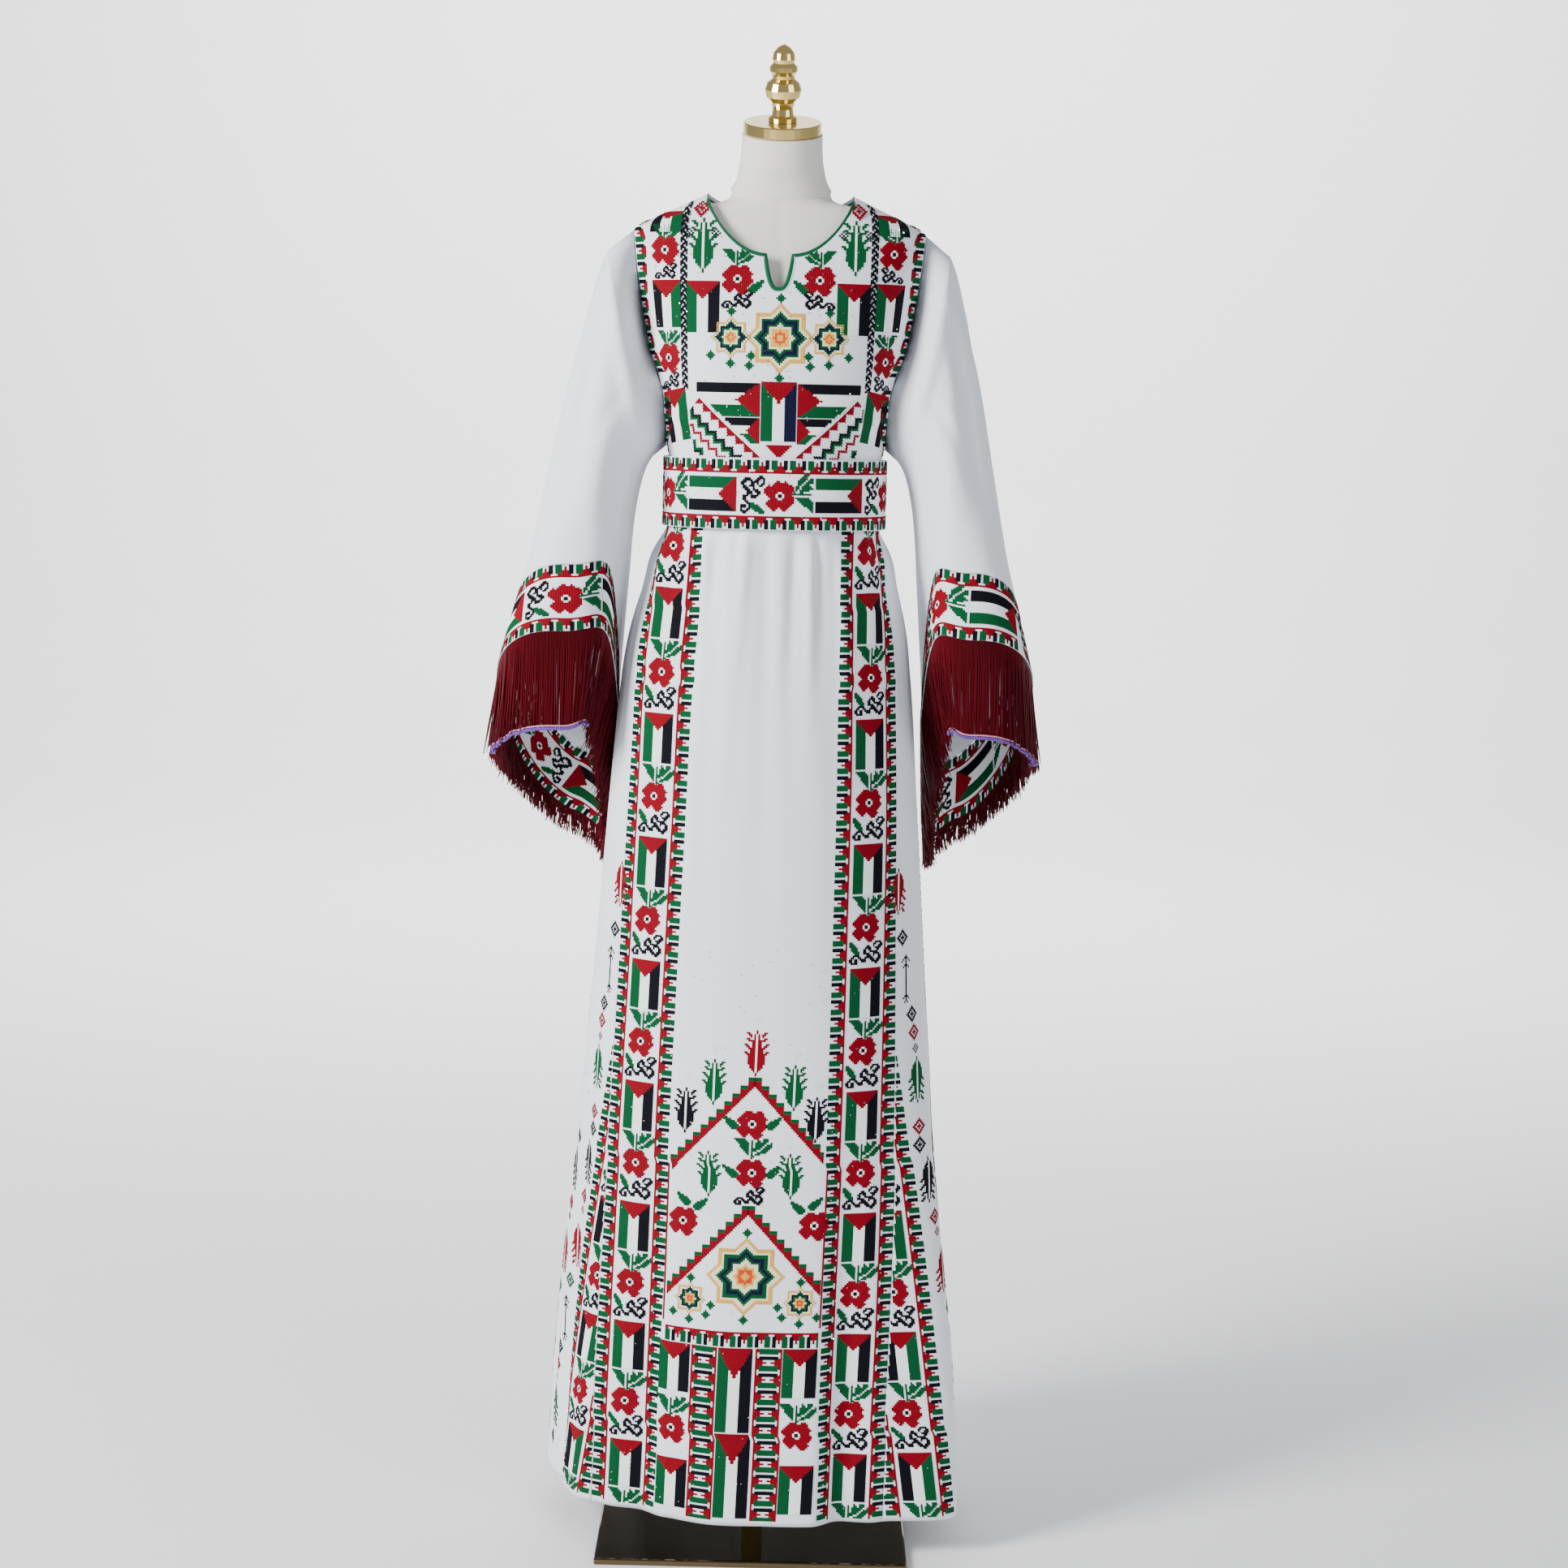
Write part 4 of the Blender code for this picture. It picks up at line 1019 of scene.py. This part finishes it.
# What stands on the side panels: chart, thread, station, height of its top
RIGHT_SIDE_MOTIFS = [
    (CYPRESS, "R", 0.176, 0.8), (DIAMOND, "K", 0.184, 0.73), (ARROW, "K", 0.19, 0.7),
    (DIAMOND, "K", 0.2, 0.641), (DIAMOND, "R", 0.203, 0.62), (SMALL_DIAMOND, "K", 0.205, 0.597),
    (CYPRESS, "G", 0.207, 0.582), (DIAMOND, "R", 0.209, 0.512), (DIAMOND, "K", 0.21, 0.491),
    (CYPRESS, "K", 0.222, 0.466), (DIAMOND, "R", 0.232, 0.406), (SMALL_DIAMOND, "R", 0.236, 0.384),
    (CYPRESS, "R", 0.247, 0.36), (DIAMOND, "G", 0.262, 0.298), (ARROW, "K", 0.27, 0.268),
    (DIAMOND, "K", 0.283, 0.212), (DIAMOND, "R", 0.288, 0.19), (SMALL_DIAMOND, "K", 0.293, 0.168),
    (CYPRESS, "G", 0.298, 0.154), (DIAMOND, "K", 0.306, 0.095),
]


def stitch_side_motifs():
    work = Stitching("side_motifs", skirt)
    for side in (1, -1):
        for drawing, colour, station, top in RIGHT_SIDE_MOTIFS:
            cells = chart(drawing, colour)
            if drawing is CYPRESS:
                cells = [(a, CYPRESS_ROWS - d, c) for a, d, c in cells]
            work.sew(cells, straight(side * station, top))
            if top < 0.50:
                work.sew(cells, straight(side * (station + 0.050), top - 0.020))
    work.finish()


# The trees of the centre strip: thread, station, height of its top
CENTRE_TREES = [
    ("R", 0.007, 0.621), ("G", -0.04, 0.586), ("G", 0.052, 0.582), ("K", -0.072, 0.551),
    ("K", 0.0785, 0.545),
]


def peak(work, apex, level, run, slope=1.08):
    """A peaked line of red with stepped green edges above it."""
    cells = []
    for k in range(run):
        top = k // 4 * 4 * slope
        for side in (-1, 1):
            cells += [(side * k, top + step, "R") for step in range(int(k * slope - top) + 3)]
            cells += [(side * k, top - step, "G") for step in (1, 2)]
    work.sew(cells, straight(apex, level), lambda s, level: np.abs(s) < strip_half(level) - 0.003)


def stitch_centre():
    work = Stitching("centre_stitches", skirt)
    for colour, station, top in CENTRE_TREES:
        work.sew(chart(CYPRESS, colour), straight(station, top))
        work.sew(chart(SMALL_DIAMOND, "W"), straight(station, top + 0.018))
    middle = 0.004
    peak(work, middle + 0.003, 0.5615, 44)
    peak(work, middle, 0.4135, 43)
    rows = int((0.459 - 0.2745) / STITCH)
    for side in (-1, 1):
        work.sew([(0, j, "R") for j in range(rows)], straight(side * 0.0925, 0.459))
    rose, leaf = chart(ROSE), chart(SIDE_LEAF)
    small_curl = [(a * 0.8, d * 0.8, c) for a, d, c in chart(CURL) if c == "K"]
    for level in (0.5285, 0.4725):
        for cells in (rose, moved(leaf, -11, 3), moved(mirrored(leaf), 11, 3)):
            work.sew(cells, straight(middle + 0.002, level))
    work.sew(chart(LEAVES), straight(middle + 0.004, 0.497))
    work.sew(small_curl, straight(middle, 0.441))
    for side, inner, outer in ((-1, leaf, mirrored(leaf)), (1, mirrored(leaf), leaf)):
        work.sew(chart(CYPRESS, "G"), straight(middle + side * 0.047, 0.480))
        for cells in (rose, moved(inner, 0, -8), moved(outer, -side * 9, -6)):
            work.sew(cells, straight(middle + side * 0.076, 0.412))
    stitch_medallions(work, middle, 0.337, ((0, 21),))
    stitch_medallions(work, middle, 0.307, ((-29, 9), (29, 9)))
    work.sew([(j - 41, a, c) for a, j, c in border_rows(0, 82, 0, 1)], straight(middle - 0.003, 0.2745))
    sprig = moved(rose, 0, 10) + chart(LEAVES)
    outer = ((0.2535, flag(18, 26)), (0.1900, sprig), (0.1170, flag(18, 26)))
    inner = ((0.2535, flag(18, 45)), (0.1530, flag(18, 45)))
    for station, column in ((-0.0765, outer), (-0.003, inner), (0.0715, outer)):
        for top, cells in column:
            work.sew(cells, straight(station, top), lambda s, level: level > HEM_HEIGHT + HEM_EDGE)
    rows = int((0.2535 - HEM_HEIGHT - HEM_EDGE) / STITCH)
    for station in (-0.0395, 0.0355):
        work.sew(border_rows(0, rows, -8, 1, 8) + border_rows(0, rows, -8, -1, 8), straight(station, 0.2535))
    work.finish()


def stitch_medallions(work, station, level, stars):
    """Eight-pointed stars in a row, each with four small diamonds round it."""
    tips = [(a, d, "G") for a in range(-2, 3) for d in range(-2, 3) if abs(a) + abs(d) < 3]
    for across, radius in stars:
        place = straight(station + across * STITCH, level)
        work.sew(star(radius, "OFOYGNGYO."), place)
        for a, d in ((0, -1), (0, 1), (-0.7, 0.7), (0.7, 0.7)):
            work.sew(moved(tips, a * (radius + 4), d * (radius + 2)), place)


def stitch_belt():
    work = Stitching("belt_stitches", belt)
    middle = BELT_LEVELS[1]
    size = float(belt.length(middle)) / (5 * REPEAT)
    work.sew(band(0, 5 * REPEAT, "K", "G", 8), lambda a, d: (BELT_START - d * size, middle + a * BELT_STITCH))
    work.finish()


def stitch_cuffs():
    for side, label, start in ((1, "right", 0.2577), (-1, "left", -0.0835)):
        surface = cuffs[label]
        work = Stitching("cuff_stitches_" + label, surface)
        cells = band(0, 5 * REPEAT, "G", "K", 8)
        size = float(surface.length(0.5)) / (5 * REPEAT)

        def place(a, d):
            return side * (start - d * size), 0.5 - a * CUFF_STITCH / CUFF_WIDTH

        work.sew(cells, place)
        work.lift = CUFF_LINING
        work.sew(cells, place, lambda s, t: surface.at(s, t)[:, 1] > 0.02)
        work.finish()


def v_line(s):
    """The height of the bodice's pointed front at a station."""
    return POINT_HEIGHT + (np.abs(s - BODICE_MIDDLE) - POINT_HALF) * 0.886


def stitch_bodice():
    work = Stitching("bodice_stitches", bodice_front)
    rose, leaf, leaves = chart(ROSE), chart(SIDE_LEAF), chart(LEAVES)
    small_leaves = [(a * 0.8, d * 0.8, c) for a, d, c in leaves]
    curl = [(a * 0.85, d * 0.8, c) for a, d, c in chart(CURL) if c == "K"]
    wave = chart("KKK.\nK.KK\n.KKK\nKK.K\n" * 26)
    small_diamond = chart(SMALL_DIAMOND, "K")

    def in_front(s, level):
        return (level < neck_line(s) - 0.006) & (level > v_line(s) + 0.004)

    for side, ends, turn in ((-1, "KG", moved), (1, "GK", mirrored)):
        work.sew(wave, straight(side * 0.1085, 1.550), lambda s, level: level > 1.338)
        for cells, top, size in (
                (flag(18, 11, *ends), 1.538, STITCH),
                (turn(leaves), 1.523, SMALL_STITCH),
                (rose, 1.509, STITCH),
                (turn(curl), 1.4785, SMALL_STITCH),
                (flag(18, 24, *ends), 1.460, STITCH),
                (turn(leaves), 1.404, SMALL_STITCH),
                (rose, 1.389, STITCH),
                (turn(curl), 1.3575, SMALL_STITCH)):
            work.sew(cells, straight(side * 0.132, top, size))
        work.sew(flag(18, 26, *ends), slanted(side, 0.129, 1.338, 0.15))
        for start, run, below in ((1.528, 78, math.inf), (1.350, 38, 1.345)):
            cells = [(a - 2, d - 0.5, c) for a, d, c in border_rows(0, run, 0, 1) if a > 2]
            work.sew(cells, armhole_place(side, start), lambda s, level: level < below)
        for cells, station, top, size in (
                (chart(CYPRESS, "G"), 0.086, 1.530, 0.0026),
                (chart(DIAMOND, "R"), 0.090, 1.552, 0.0024),
                (moved(small_diamond, -7), 0.087, 1.518, STITCH),
                (moved(small_diamond, 7), 0.087, 1.518, STITCH),
                (flag(18, 26), 0.0855, 1.459, STITCH),
                (rose, 0.046, 1.477, STITCH),
                (turn(small_leaves), 0.046, 1.495, STITCH),
                (moved(leaf if side > 0 else mirrored(leaf), -side * 9.5, 4), 0.046, 1.470, STITCH),
                (turn(curl), 0.046, 1.449, 0.0021)):
            work.sew(cells, straight(side * station, top, size), in_front)
        for size, top in (((17, 34), 1.3285), ((13, 18), 1.2945)):
            cells = turn(quarter_turn(flag(*size)))
            work.sew(cells, straight(BODICE_MIDDLE + side * 0.0208, top), in_front)
        stitch_pointed_rows(work, side)
    work.sew(flag(18, 30, "G", "N"), straight(BODICE_MIDDLE, 1.349), in_front)
    work.sew([(a, d, "R") for d in range(6) for a in range(-6 + d, 7 - d)], straight(0.004, 1.278))
    stitch_medallions(work, BODICE_MIDDLE, 1.397, ((0, 18), (-25, 11), (25, 11)))
    work.finish()


def neck_line(s):
    """About how high the neckline is at a station."""
    return np.interp(np.abs(s), *zip(*NECK_LINE))


def slanted(side, station, level, lean):
    """Places below a point on a line that leans towards the middle."""
    return lambda a, d: (side * (station - lean * d * STITCH) + a * STITCH,
                         level - d * STITCH - side * a * STITCH * lean)


def armhole_place(side, start):
    """Places along the armhole seam, across from 22 mm inside it."""
    levels = np.linspace(1.27, 1.53, 40)
    edges = np.array([abs(station_of(panel_half_width(float(z)), float(z), True)) for z in levels])

    def place(a, d):
        level = start - d * STITCH
        return side * (np.interp(level, levels, edges) - 0.0215 + a * STITCH * 1.25), level + 0 * a

    return place


def stitch_pointed_rows(work, side):
    """Rows of small shapes parallel to the pointed front, from its edge down to the belt."""
    cells = []
    for start, colour in zip((0, 6, 8, 13, 19, 21, 26, 32, 34, 39), "RKGRGKRKGR"):
        for k in range(46):
            rise = abs((k % 6) - 3)
            height = range(0, 4 - rise) if start == 0 else (rise, rise + 1)
            cells += [(k, start + step + 1, colour) for step in height]

    def place(a, d):
        along, away = a * STITCH, d * STITCH * 0.9
        s = POINT_HALF + 0.749 * along + 0.663 * away
        return side * s + BODICE_MIDDLE, POINT_HEIGHT + 0.663 * along - 0.749 * away

    def keep(s, level):
        return (level > BELT_TOP + 0.002) & (np.abs(s) < 0.107 - 0.15 * (1.338 - level))

    work.sew(cells, place, keep)


# The fringe, the tape at the neck, the form and the crystals

FRINGE_STRANDS = 700
STRAND_RADIUS = 0.00075
CHAIN_POINTS = 520
CHAIN_START = -132
CHAIN_END = -14
CRYSTAL_RADIUS = 0.0009


def mouth_edge(side, label, bearings):
    """The edge of the cuff, by bearing, on the side of the sleeve that is asked for."""
    return sleeve_ring(MOUTH_RING, bearings, label) * (side, 1, 1)


def tube(name, paths, radii, sides, finish):
    """Thin tubes along paths of points; radii holds one radius for each point of a path."""
    paths = np.asarray(paths, float)
    count, steps = paths.shape[:2]
    ahead = unit(np.gradient(paths, axis=1))
    aside = unit(np.cross(ahead, np.where(np.abs(ahead[..., 2:]) > 0.7, [[[1.0, 0, 0]]], [[[0, 0, 1.0]]])))
    other = np.cross(ahead, aside)
    turn = 2 * math.pi * np.arange(sides) / sides
    ring = np.cos(turn)[:, None] * aside[:, :, None] + np.sin(turn)[:, None] * other[:, :, None]
    points = paths[:, :, None] + ring * np.broadcast_to(radii, (count, steps))[:, :, None, None]
    first = (np.arange(count) * steps * sides)[:, None, None]
    i, j = np.meshgrid(np.arange(steps - 1), np.arange(sides), indexing="ij")
    right = (j + 1) % sides
    near, far = i * sides, (i + 1) * sides
    faces = np.stack([near + j, near + right, far + right, far + j], axis=-1).reshape(-1, 4)
    faces = (first + faces[None]).reshape(-1, 4).tolist()
    obj = mesh_object(name, points, faces, [finish])
    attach(obj, "root")
    return obj


def flat_chance(chance):
    """A random offset in plan."""
    return np.array([chance.gauss(0, 1), chance.gauss(0, 1), 0])


def make_fringes():
    for side, label, seed in ((1, "right", 21), (-1, "left", 22)):
        chance = random.Random(seed)
        paths, radii, chain = [], [], []
        fine = np.linspace(-math.pi, math.pi, 2000)
        run = lengths_along(mouth_edge(side, label, fine))[1:]
        bearings = np.interp(np.arange(FRINGE_STRANDS) * run[-1] / FRINGE_STRANDS, run, fine[1:])
        edge = mouth_edge(side, label, bearings)
        middle = edge.mean(axis=0)
        for root, bearing, degrees in zip(edge, bearings, np.degrees(bearings)):
            length = float(eased(FRINGE_LENGTHS, degrees))
            lean = strand_lean(bearing, length) * (side, 1, 1)
            inward = (middle - root) * (1, 1, 0)
            inward /= np.linalg.norm(inward)
            front = bump(turned_apart(degrees, -90), 80)
            for depth, share in ((0.0012, 1), (0.0028, 0.96)):
                reach = length * (1 - 0.06 * chance.random() * (1 - front)) * share
                start = root + inward * depth
                swing = lean + flat_chance(chance) * (0.0004 + 0.0036 * (1 - front))
                drop = math.sqrt(max(reach ** 2 - float((swing ** 2).sum()), 1e-4))
                bow = flat_chance(chance) * (0.0003 + 0.0006 * (1 - front))
                paths.append([start + swing * t ** 1.3 + bow * math.sin(3.1 * t) - (0, 0, drop * t)
                              for t in (0.0, 0.18, 0.42, 0.68, 1.0)])
                radii.append(STRAND_RADIUS * np.array([1.2, 1.1, 1.0, 0.95, 0.55 + 0.35 * front]))
            if CHAIN_START < degrees < CHAIN_END:
                chain.append(paths[-2][-1] - inward * 0.0008 + (0, 0, 0.0012))
        obj = tube("fringe_strands_" + label, paths, np.array(radii), 3, silk)
        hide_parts("fringe_" + label)
        chain = smoothed(np.array(chain), 6)
        at = np.linspace(0, len(chain) - 1, CHAIN_POINTS)
        dense = np.stack([np.interp(at, np.arange(len(chain)), chain[:, k]) for k in range(3)], axis=-1)
        beads = 0.0014 + 0.0007 * np.abs(np.sin(np.arange(CHAIN_POINTS) * math.pi / 6))
        tube("chain_stitch_" + label, [dense], [beads], 6, violet)
        tube("pale_stitch_" + label, [dense + (0, 0, 0.0032)], [beads * 0.5], 5, pink)


def make_tape():
    """Green tape over the neck edge of both panels, with a pale line inside it at the front."""
    across = np.concatenate([np.linspace(-NECK_SIDE, -NOTCH_HALF, 50), np.linspace(-0.0135, 0.0135, 19),
                             np.linspace(NOTCH_HALF, NECK_SIDE, 50)])
    for name, front, finish, top, deep, out in (
            ("neck_tape_front", True, tape, 0.0012, 0.0042, 0.0010),
            ("neck_tape_back", False, tape, 0.0012, 0.0042, 0.0010),
            ("neck_line_front", True, pale_line, -0.0046, 0.0062, 0.0008)):
        tops = np.array([bodice_place(float(x), 0.0, front) for x in across])
        along = np.gradient(tops, axis=0)
        along /= np.linalg.norm(along, axis=1)[:, None]
        outwards = np.full(len(tops), -0.06 if front else 0.06)
        out_of = np.stack([tops[:, 0] * 0.6, outwards, np.full(len(tops), 0.012)], axis=-1)
        out_of -= along * (out_of * along).sum(axis=1)[:, None]
        out_of /= np.linalg.norm(out_of, axis=1)[:, None]
        down = np.cross(along, out_of)
        down = smoothed(down * np.sign(-down[:, 2:]), 2)
        grid = [tops - down * top + out_of * out * 0.5, tops + down * (deep - top) * 0.3 + out_of * out,
                tops + down * deep * 0.7 + out_of * out, tops + down * deep + out_of * out * 0.4]
        if not front:
            grid = [row[::-1] for row in grid]
        obj = mesh_object(name, np.array(grid), grid_faces(4, len(across), False), [finish])
        thicken(obj, 0.0006)
        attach(obj, "root")
        if finish is tape:
            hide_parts("neck_binding")


def make_form():
    """The padded form, with a seam round the foot of its neck and one down its chest."""
    levels = np.concatenate([np.linspace(0.9, 1.44, 40), np.linspace(1.445, NECK_TOP, 110)])
    bearings = np.linspace(-math.pi, math.pi, 160, endpoint=False)
    rows = []
    for level in levels:
        half, front, back, shift = (eased(FORM_SECTIONS, level, k) for k in (1, 2, 3, 4))
        section = oval(bearings, half, front, back, FORM_POWER)
        tilt = math.tan(NECK_TILT) * bump(min(level - NECK_TOP, 0.0), 0.060)
        neck_seam = 1.563 - 0.010 * np.cos(bearings)
        groove = 0.0011 * bump(level - neck_seam, 0.0032) - 0.0005 * bump(level - neck_seam, 0.012)
        chest = 0.0010 * bump(np.sin(bearings) * half, 0.0022) * (np.cos(bearings) > 0) * (level < 1.552)
        section = section * (1 - (groove + chest)[:, None] / np.linalg.norm(section, axis=1)[:, None])
        rows.append(np.stack([section[:, 0], section[:, 1] + shift, level + section[:, 1] * tilt], axis=-1))
    count, columns = len(rows), len(bearings)
    ends = [list(range(columns)), list(reversed(range((count - 1) * columns, count * columns)))]
    obj = mesh_object("form_linen", rows[::-1], grid_faces(count, columns, True) + ends, [linen])
    obj.data.set_sharp_from_angle(angle=math.radians(50))
    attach(obj, "root")
    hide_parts("form_torso")


def make_crystals():
    """Tiny glued crystals scattered over the front of the bodice, the skirt and the belt."""
    chance = random.Random(5)
    places = []
    for surface, count, widest, low, high in (
            (bodice_front, 170, 0.15, 1.275, 1.53),
            (skirt, 260, 0.26, 0.06, 0.72),
            (belt, 60, 0.16, 1.19, 1.257)):
        for _ in range(count):
            s, level = chance.uniform(-widest, widest), chance.uniform(low, high)
            if surface is not bodice_front or level < neck_line(s) - 0.010:
                places.append((surface, s, level))
    corners = ((1, 0), (0.5, 0.87), (-0.5, 0.87), (-1, 0), (-0.5, -0.87), (0.5, -0.87))
    ring = [(CRYSTAL_RADIUS * a, CRYSTAL_RADIUS * d) for a, d in corners]
    points, faces = [], []
    for surface, s, level in places:
        first = len(points)
        for size, lift in ((1, 0.0008), (0.55, 0.0015)):
            points += [surface.at(s + a * size, level + d * size, lift) for a, d in ring]
        for k in range(6):
            n = (k + 1) % 6
            faces.append((first + k, first + n, first + 6 + n, first + 6 + k))
        faces.append(tuple(range(first + 6, first + 12)))
    obj = mesh_object("crystals", points, faces, [crystal], smooth=False)
    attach(obj, "root")


make_skirt()
make_bodice()
for side_sign, side_label in ((1, "right"), (-1, "left")):
    make_sleeve(side_sign, side_label)
make_belt()
stitch_skirt_bands()
stitch_side_motifs()
stitch_centre()
stitch_belt()
stitch_cuffs()
stitch_bodice()
make_fringes()
make_tape()
make_form()
make_crystals()

for node, finish in (("stand_pole", brass), ("neck_cap", brass), ("finial", brass), ("base_plate", mirror)):
    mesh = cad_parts[node].data
    for k in range(len(mesh.materials)):
        mesh.materials[k] = finish


# Floor, light and camera

def make_light(name, place, towards, size, power):
    lamp = bpy.data.lights.new(name, "AREA")
    lamp.shape = "RECTANGLE"
    lamp.size, lamp.size_y = size
    lamp.energy = power
    obj = bpy.data.objects.new(name, lamp)
    obj.location = place
    obj.rotation_euler = (Vector(towards) - Vector(place)).to_track_quat("-Z", "Y").to_euler()
    bpy.context.scene.collection.objects.link(obj)


def make_stage():
    pale = woven("pale_floor", (0.90, 0.90, 0.91), 0.6, threads=60.0, depth=0.02, sheen=0.0, mottle=0.01)
    rows = [(-9.0, 0.0), (5.8, 0.0), (6.3, 0.06), (6.7, 0.25), (7.0, 0.60), (7.1, 1.1), (7.1, 8.0)]
    points = [(x, y, z) for y, z in rows for x in (-14.0, 14.0)]
    faces = [(2 * k, 2 * k + 1, 2 * k + 3, 2 * k + 2) for k in range(len(rows) - 1)]
    mesh_object("backdrop", points, faces, [pale])


def make_camera():
    data = bpy.data.cameras.new("camera")
    data.sensor_width = 36.0
    data.lens = 67.33
    camera = bpy.data.objects.new("camera", data)
    down, roll = math.radians(7.35), math.radians(1.3)
    turn = Matrix.Rotation(math.pi / 2 - down, 4, "X") @ Matrix.Rotation(roll, 4, "Z")
    camera.matrix_world = Matrix.Translation((0.0185, -3.4, 1.323)) @ turn
    bpy.context.scene.collection.objects.link(camera)
    bpy.context.scene.camera = camera


make_stage()
make_light("key", (-2.9, -1.9, 2.4), (0, 0, 1.0), (1.1, 1.6), 270)
make_light("fill", (2.4, -2.8, 1.8), (0, 0, 1.0), (2.0, 2.0), 45)
make_light("wall", (0.0, 3.2, 4.2), (0, 6.8, 1.0), (6.0, 2.0), 620)
world = bpy.data.worlds.new("world")
bpy.context.scene.world = world
world.use_nodes = True
background = world.node_tree.nodes["Background"].inputs
background["Color"].default_value = (0.9, 0.95, 1.0, 1)
background["Strength"].default_value = 0.42
make_camera()
